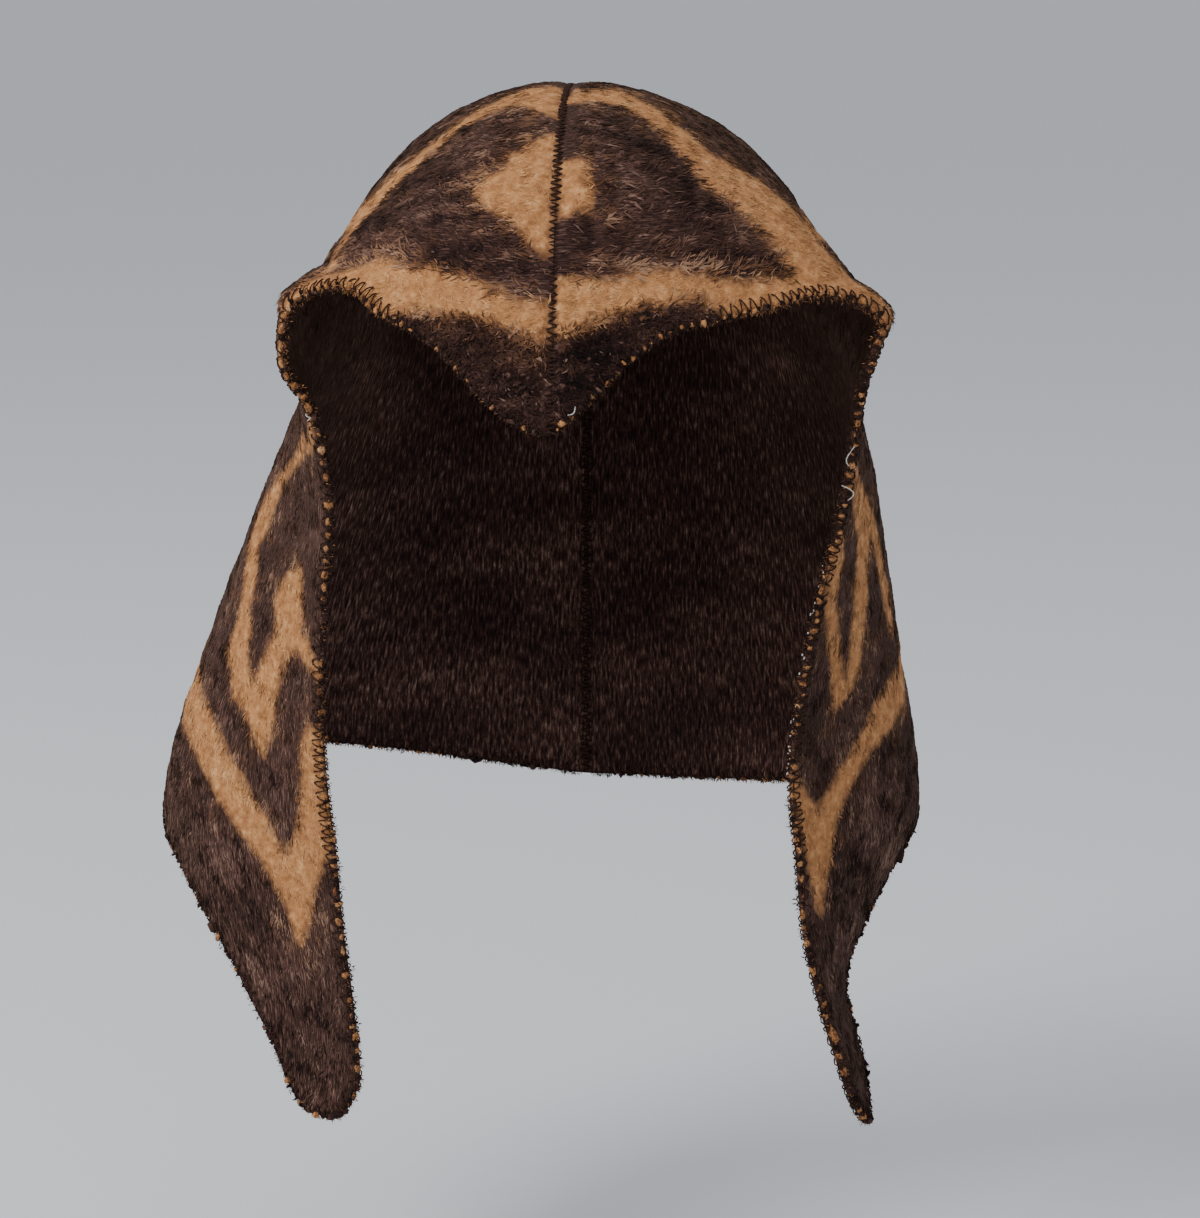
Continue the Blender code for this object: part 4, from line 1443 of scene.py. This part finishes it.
def overlock(side, seed):
    """Two paths a stitch, one the other's mirror image along the edge."""
    random = np.random.default_rng(seed)
    start, length = stitches[side]
    count = len(start)
    share, inset, cloths = np.array(LEG_PATH).T
    paths = []
    for direction in (1, -1):
        slant = SLANT * random.normal(size=(count, 1)) * np.abs(share - 0.5)
        at = (start + length / 2)[:, None] + length[:, None] * (share - 0.5) * direction + slant
        reach = LEG_DEPTH * random.uniform(0.65, 1.1, (count, 1))
        paths.append(near_edge(side, at, inset * reach, cloths)[0])
    paths = np.concatenate(paths)
    paths[..., 0] = HAND[side] * np.maximum(paths[..., 0] * HAND[side], SEAM_STOP)
    return tubes(paths, THREAD, 4)


for side in SIDES:
    points, faces = overlock(side, 43)
    extras[side].append(add_piece(f"overlock_{side}", points, faces, dark_yarn))


# %% The shape of the puffs
def ellipsoids(centre, axes, rings, sides):
    """Closed low ellipsoids: two poles and rings of points. axes is (count, 3, 3), one half
    axis a row, and the last one runs from pole to pole."""
    turn = (np.linspace(0, math.pi, rings + 2)[1:-1])[:, None]
    angle = np.arange(sides) * 2 * math.pi / sides
    flat = np.stack(
        np.broadcast_arrays(np.sin(turn) * np.cos(angle), np.sin(turn) * np.sin(angle),
                            np.cos(turn)), axis=-1,
    ).reshape(-1, 3)
    shape = np.concatenate([[[0, 0, 1.0]], flat, [[0, 0, -1.0]]])
    points = centre[:, None] + np.einsum("pk,nkc->npc", shape, axes)
    ids = 1 + np.arange(rings * sides).reshape(rings, sides)
    after = np.roll(ids, -1, axis=1)
    quads = np.stack([ids[:-1], ids[1:], after[1:], after[:-1]], axis=-1).reshape(-1, 4)
    poles = np.zeros(sides, int), np.full(sides, len(shape) - 1)
    ends = np.concatenate(
        [
            np.stack([poles[0], ids[0], after[0]], axis=-1),
            np.stack([poles[1], after[-1], ids[-1]], axis=-1),
        ]
    )
    offset = np.arange(len(centre))[:, None, None] * len(shape)
    return points.reshape(-1, 3), [(quads + offset).reshape(-1, 4), (ends + offset).reshape(-1, 3)]


# %% Puffs of wool between the stitches, and knots at the crossings
TAN_CHANCE = {"brow left": 0.50, "brow right": 0.70, "front": 0.80, "hem": 0.15}
BAND_CHANCE = 0.95  # wherever the cloth itself is tan
# Half sizes: share of the stitch along the rim, then metres across it and out of it
PUFF_HALF = (0.34, 0.00115, 0.00100)
KNOT_HALF = (0.20, 0.00125, 0.00085)
LUMPS = 0.26  # spread of a puff's surface, as a share of its size
PUFF_DEPTHS = (0.5, 0.85)  # from 0 at the inner face to 1 at the outer one
BROW_RAISE = 0.2  # how much further out they are on the brow, where the loops pull them
PUFF_INSETS = (-0.0003, 0.0004)  # metres into the cloth
HEM_SWELL = 1.3  # their size along the hem, where the stitches are looser
# A knot is dark partly for its dark yarn and partly as painted shade between the puffs
PUFF_LIGHT, KNOT_YARN_AND_SHADE_LIGHT = (0.42, 0.14), (0.16, 0.08)  # mean and spread


def edge_puffs(side, seed):
    """At each stitch a puff, and at each crossing a knot: points, faces, dye and lightness."""
    random = np.random.default_rng(seed)
    start, length = stitches[side]
    at = np.concatenate([start, start + length / 2])
    length = np.tile(length, 2)
    count = len(at)
    puff = np.arange(count) < count // 2
    q, drop, along, inward, _, _ = edge_frames(side, at)
    depth = random.uniform(*PUFF_DEPTHS, count) + BROW_RAISE * (q < 0.98)
    centre, out = near_edge(side, at, 0.0, depth)
    centre = centre + inward * random.uniform(*PUFF_INSETS, (count, 1))
    size = random.uniform(0.5, 1.3, (count, 3)) * np.where(puff[:, None], PUFF_HALF, KNOT_HALF)
    size *= np.where(q > 1.001, HEM_SWELL, random.uniform(0.75, 1.2, count))[:, None]
    size[:, 0] *= length
    axes = np.stack([along * size[:, :1], out * size[:, 1:2], inward * size[:, 2:]], axis=1)
    axes[np.linalg.det(axes) < 0, 2] *= -1

    chance = np.where(q >= 1.001, TAN_CHANCE["hem"], TAN_CHANCE["front"])
    chance = np.where(q < 0.98, TAN_CHANCE[f"brow {side}"], chance)
    chance = np.where(tan_distance(side, q, drop) > -1.0, BAND_CHANCE, chance)
    tan = ((random.random(count) < chance) & puff).astype(float)
    points, faces = ellipsoids(centre, axes, 3, 6)
    each = len(points) // count
    middle = np.repeat(centre, each, axis=0)
    points = middle + (points - middle) * (1 + LUMPS * random.normal(size=(len(points), 1)))
    mean, spread = np.where(puff[:, None], PUFF_LIGHT, KNOT_YARN_AND_SHADE_LIGHT).T
    light = np.clip(mean + spread * random.normal(size=count), 0, 1)
    values = (("dye", np.repeat(tan, each)), ("light", np.repeat(light, each)))
    return points, faces, values


# %% The puffs' material
PUFF_LUMPS = 1300.0  # in a metre of wool, which makes one about 0.8 mm wide


def puff_wool(name):
    """The two blends by dye, broken up by fine fibres."""
    material, tree, shader = new_material(name, WOOL_FINISH)
    place = add_node(tree, "ShaderNodeTexCoord").outputs["Object"]
    fuzz = add_node(tree, "ShaderNodeTexNoise", inputs={
        "Vector": place, "Scale": PUFF_LUMPS, "Detail": 3.0, "Roughness": 0.75})
    light, dye = (
        add_node(tree, "ShaderNodeAttribute", {"attribute_name": n}).outputs["Fac"]
        for n in ("light", "dye")
    )
    broken = add_node(tree, "ShaderNodeMath", {"operation": "MULTIPLY_ADD"}, {
        0: fuzz.outputs["Fac"], 1: 1.1, 2: -0.62})
    mixed = add_node(tree, "ShaderNodeMath", {"operation": "ADD"}, {
        0: light, 1: broken.outputs[0]})
    # Brown fibres are caught in the tan puffs, where the noise is low
    caught = add_node(tree, "ShaderNodeMapRange", inputs={
        "Value": fuzz.outputs["Fac"], "From Min": 0.36, "From Max": 0.48})
    tan_share = add_node(tree, "ShaderNodeMath", {"operation": "MULTIPLY"}, {
        0: dye, 1: caught.outputs[0]})
    colour = add_node(tree, "ShaderNodeMix", {"data_type": "RGBA"}, {
        0: tan_share.outputs[0], MIX_A: wool_blend(tree, mixed.outputs[0], BROWN_WOOL),
        MIX_B: wool_blend(tree, mixed.outputs[0], TAN_WOOL)})
    tree.links.new(colour.outputs[MIX_RESULT], shader.inputs["Base Color"])
    bump = add_node(tree, "ShaderNodeBump", inputs={
        "Strength": 0.9, "Distance": 0.0006, "Height": fuzz.outputs["Fac"]})
    tree.links.new(bump.outputs[0], shader.inputs["Normal"])
    return material


puff_material = puff_wool("pinched_wool_edge")
for side in SIDES:
    points, faces, values = edge_puffs(side, 50)
    extras[side].append(add_piece(f"edge_puffs_{side}", points, faces, puff_material, values))

# %% [markdown]
# ### Fuzz on the cut edge
#
# Shears leave fibre ends standing out of the rim. They are the same leaves as the nap, rooted on
# the rim and pointing away from it, which breaks up the outline of the hat.

# %% Fuzz
FUZZ_LEAVES = 5200
FUZZ_LENGTHS = (0.0008, 0.0022)
FUZZ_WIDTH = 0.00014
FUZZ_LIFT = 0.0001
FUZZ_BEND = 0.10
FUZZ_ROOT = -0.0003  # inset of the roots, which stand just out of the rim
FUZZ_LEAN = 0.6  # how far the fibres lean along the rim and to the faces
TAN_FUZZ = (0.6, 0.15)  # share of tan fibres where the cloth is tan, and where it is brown
FUZZ_LIGHT = (0.35, 0.2)  # mean and spread


def rim_fuzz(side, seed):
    """Random places on the rim; each leaf points out of it and a little along it."""
    random = np.random.default_rng(seed)
    count = FUZZ_LEAVES
    at = random.uniform(0.002, EDGES[side][2][-1] - 0.002, count)
    root, out = near_edge(side, at, FUZZ_ROOT, random.uniform(0.05, 1.05, count))
    q, drop, along, inward, _, _ = edge_frames(side, at)
    lean_along, lean_out = FUZZ_LEAN * random.normal(size=(2, count, 1))
    way = unit(-inward + lean_along * along + lean_out * out)
    face = unit(out - way * (out * way).sum(-1, keepdims=True))
    length = random.uniform(*FUZZ_LENGTHS, (count, 1))
    bend = FUZZ_BEND * random.normal(size=(count, 1))
    points, faces = leaves(root, way, face, length, FUZZ_WIDTH, FUZZ_LIFT, bend)
    dye = random.random(count) < np.where(tan_distance(side, q, drop) > 0.5, *TAN_FUZZ)
    light = np.clip(FUZZ_LIGHT[0] + FUZZ_LIGHT[1] * random.normal(size=count), 0, 1)
    return points, faces, leaf_values(light, dye)


for side in SIDES:
    points, faces, values = rim_fuzz(side, 70)
    extras[side].append(add_piece(f"rim_fuzz_{side}", points, [faces], nap_outside, values))

# %% [markdown]
# ### White thread ends
#
# A white cotton thread runs under the wool of the overlock. It shows as specks on the rim of the
# right lappet, and a loose end curls out here and there: two above the specks, one at the brow
# and one on the left lappet.

# %% Ends of the white thread
COTTON = 0.00017  # radius of the thread
END_PATHS = (  # side, q or drop of the start, then (metres along, inset, cloths out) of each point
    ("right", "drop", 0.1110, ((0, 0.0004, 0.9), (0.0020, -0.0012, 0.6), (0.0045, -0.0022, 0.3),
                               (0.0070, -0.0010, 0.5), (0.0086, 0.0010, 1.25))),
    ("right", "drop", 0.1245, ((0, -0.0020, 0.2), (0.0010, -0.0006, 1.0), (0.0026, 0.0010, 1.4),
                               (0.0040, 0.0006, 1.3), (0.0050, -0.0004, 1.0))),
    ("right", "q", 0.050, ((0, 0.0012, 1.1), (0.0008, 0.0006, 1.25), (0.0018, 0.0004, 1.3),
                           (0.0026, 0.0008, 1.25), (0.0034, 0.0014, 1.15))),
    ("left", "drop", 0.1010, ((0, 0.0006, 1.2), (0.0008, -0.0002, 1.2), (0.0014, -0.0006, 0.9),
                              (0.0020, -0.0002, 1.1), (0.0024, 0.0006, 1.2))),
)


def edge_at(side, by, value):
    """Metres along the edge where the brow reaches a q, or the lappet's front edge a drop."""
    q, drop, walked = EDGES[side]
    part = q < 1.0 if by == "q" else np.abs(q - 1) < 1e-4
    return np.interp(value, (q if by == "q" else drop)[part], walked[part])


def white_threads(side):
    """Each end is a smooth curve through its five points, carried as a thin tube."""
    paths = []
    for end_side, by, value, stations in END_PATHS:
        if end_side == side:
            knots = np.array(stations)
            at = np.linspace(0, len(knots) - 1, 13)
            along, inset, cloths = (
                smooth_curve(at, np.arange(len(knots)), knots[:, k]) for k in range(3)
            )
            start = edge_at(side, by, value)
            paths.append(near_edge(side, start + along, inset, cloths)[0])
    return tubes(np.stack(paths), COTTON, 6)


for side in SIDES:
    points, faces = white_threads(side)
    extras[side].append(add_piece(f"thread_ends_{side}", points, faces, white_cotton))

# %% Specks of the white thread
SPECKS = 34
SPECK_DROPS = (0.150, 0.262)  # where they lie on the right lappet's front edge
SPECK_HALF = (0.0005, 0.0003, 0.0003)  # half sizes along the rim, across it and out of it
SPECK_INSET = -0.0006

random = np.random.default_rng(80)
speck_at = random.uniform(*edge_at("right", "drop", np.array(SPECK_DROPS)), SPECKS)
centre, out = near_edge("right", speck_at, SPECK_INSET, random.uniform(-0.05, 0.35, SPECKS))
_, _, along, inward, _, _ = edge_frames("right", speck_at)
size = random.uniform(0.6, 1.3, (SPECKS, 3)) * SPECK_HALF
axes = np.stack([along * size[:, :1], out * size[:, 1:2], inward * size[:, 2:]], axis=1)
axes[np.linalg.det(axes) < 0, 2] *= -1
points, faces = ellipsoids(centre, axes, 2, 5)
extras["right"].append(add_piece("thread_specks", points, faces, white_cotton))

# %% [markdown]
# ### The centre seam
#
# The panels are butted edge to edge and joined by a close zigzag, which lets the seam lie flat
# on the head. Each leg is a short thread from one side to the other that dips into the cloth at
# both ends.

# %% Zigzag along the seam
ZIGZAG = 0.0026  # pitch
ZIGZAG_HALF = 0.0022  # half its width
ZIGZAG_THREAD = 0.00031  # radius
ZIGZAG_WANDER = 0.00015  # how far a stitch is out of place
TOP_SHARE = 0.62  # of that width on top of the crown, where it was sewn narrower
TOP_DEPTH = 0.018  # depth at which it has its full width
ZIGZAG_PATH = (  # share of a leg, height over the seam in metres
    (0.00, -0.0004),
    (0.16, 0.0005),
    (0.50, 0.0006),
    (0.84, 0.0005),
    (1.00, -0.0004),
)


def seam_walk(face):
    """Points and outward directions in the plane of the seam, from the brow point over the top
    to the nape, with the distance walked."""
    front = np.linspace(1, 0, 500) ** 2 * brow_drop("left", 0.0)
    back = np.linspace(0, 1, 900)[1:] ** 2 * hem_drop("left", 3.0)
    q = np.concatenate([np.zeros(len(front)), np.full(len(back), 3.0)])
    inner, _, _, out = felt_frame("left", q, np.concatenate([front, back]))
    thick = FELT * (1 - SEAM_DIP) if face == "outer" else 0.0
    points = inner + out * thick
    walked = np.concatenate([[0], np.cumsum(np.linalg.norm(np.diff(points, axis=0), axis=1))])
    return points, out if face == "outer" else -out, walked


def zigzag(face, seed):
    """Leg number n swings from one side to the other, and the next one swings back."""
    points, out, walked = seam_walk(face)
    random = np.random.default_rng(seed)
    count = int(walked[-1] / (ZIGZAG / 2)) - 1
    share, height = np.array(ZIGZAG_PATH).T
    here = (np.arange(count)[:, None] + 0.5 + share) * ZIGZAG / 2
    here = here + ZIGZAG_WANDER * random.normal(size=(count, 1))
    place, away = (
        np.stack([np.interp(here, walked, numbers[:, k]) for k in range(3)], axis=-1)
        for numbers in (points, out)
    )
    place = place + away * height[:, None]
    narrow = TOP_SHARE + (1 - TOP_SHARE) * smooth_step(-place[:, :1, 2] / TOP_DEPTH)
    half = ZIGZAG_HALF * narrow * random.uniform(0.7, 1.15, (count, 1))
    swing = np.where(np.arange(count) % 2 == 0, 1.0, -1.0)[:, None]
    place[..., 0] = swing * half * (1 - 2 * share)
    return tubes(place, ZIGZAG_THREAD, 4)


# Both go with the left panel's cloth, which they are sewn to
for face in ("outer", "inner"):
    points, faces = zigzag(face, 60)
    extras["left"].append(add_piece(f"seam_zigzag_{face}", points, faces, dark_yarn))

# %% [markdown]
#
# Each panel is a sheet that was cut flat. Its cut measures 280 by 420 mm and has an area of
# about 755 square cm once the corners are cut away.

# %% Sheets
for side in SIDES:
    print("sheet:", panels[side].name, "with", len(extras[side]), "pieces on it")

# %% [markdown]
# ## Studio
#
# A pale floor and three soft lights: daylight from the upper left, a weak fill from the right,
# and a pale sky.

# %% Floor, lights and sky
FLOOR_LEVEL = -0.42
FLOOR_HALF = 200.0  # metres, so that its far edge is out of sight
SKY_STRENGTH = 0.8

floor_mesh = bpy.data.meshes.new("floor")
floor_mesh.from_pydata(
    [(x, y, FLOOR_LEVEL) for x, y in
     ((-FLOOR_HALF, -FLOOR_HALF), (FLOOR_HALF, -FLOOR_HALF),
      (FLOOR_HALF, FLOOR_HALF), (-FLOOR_HALF, FLOOR_HALF))],
    [], [(0, 1, 2, 3)],
)
floor = bpy.data.objects.new("floor", floor_mesh)
bpy.context.scene.collection.objects.link(floor)
floor_material, floor_tree, floor_shader = new_material("matt_pale_floor", {"Roughness": 0.9})
floor_shader.inputs["Base Color"].default_value = linear("#d8dadd")
floor_mesh.materials.append(floor_material)

LIGHTS = (  # name, place, aim, size in m, watts, colour
    ("window", (-1.7, -1.4, 1.6), (0, 0, -0.15), 1.6, 78.0, "#ffffff"),
    ("fill", (1.6, -1.9, 0.5), (0, 0, -0.15), 1.6, 9.0, "#dde8ff"),
)
for name, place, aim, size, power, code in LIGHTS:
    light = bpy.data.lights.new(name, "AREA")
    light.size = size
    light.energy = power
    light.color = linear(code)[:3]
    lamp = bpy.data.objects.new(name, light)
    lamp.location = place
    way = np.array(aim) - np.array(place)
    lamp.rotation_euler = (
        math.acos(-way[2] / np.linalg.norm(way)), 0.0, math.atan2(way[1], way[0]) - math.pi / 2
    )
    bpy.context.scene.collection.objects.link(lamp)

world = bpy.data.worlds.new("pale_sky")
bpy.context.scene.world = world
world.use_nodes = True
world.node_tree.nodes["Background"].inputs["Color"].default_value = linear("#e6e9ee")
world.node_tree.nodes["Background"].inputs["Strength"].default_value = SKY_STRENGTH
print("lights:", [name for name, *_ in LIGHTS], "and", world.name)
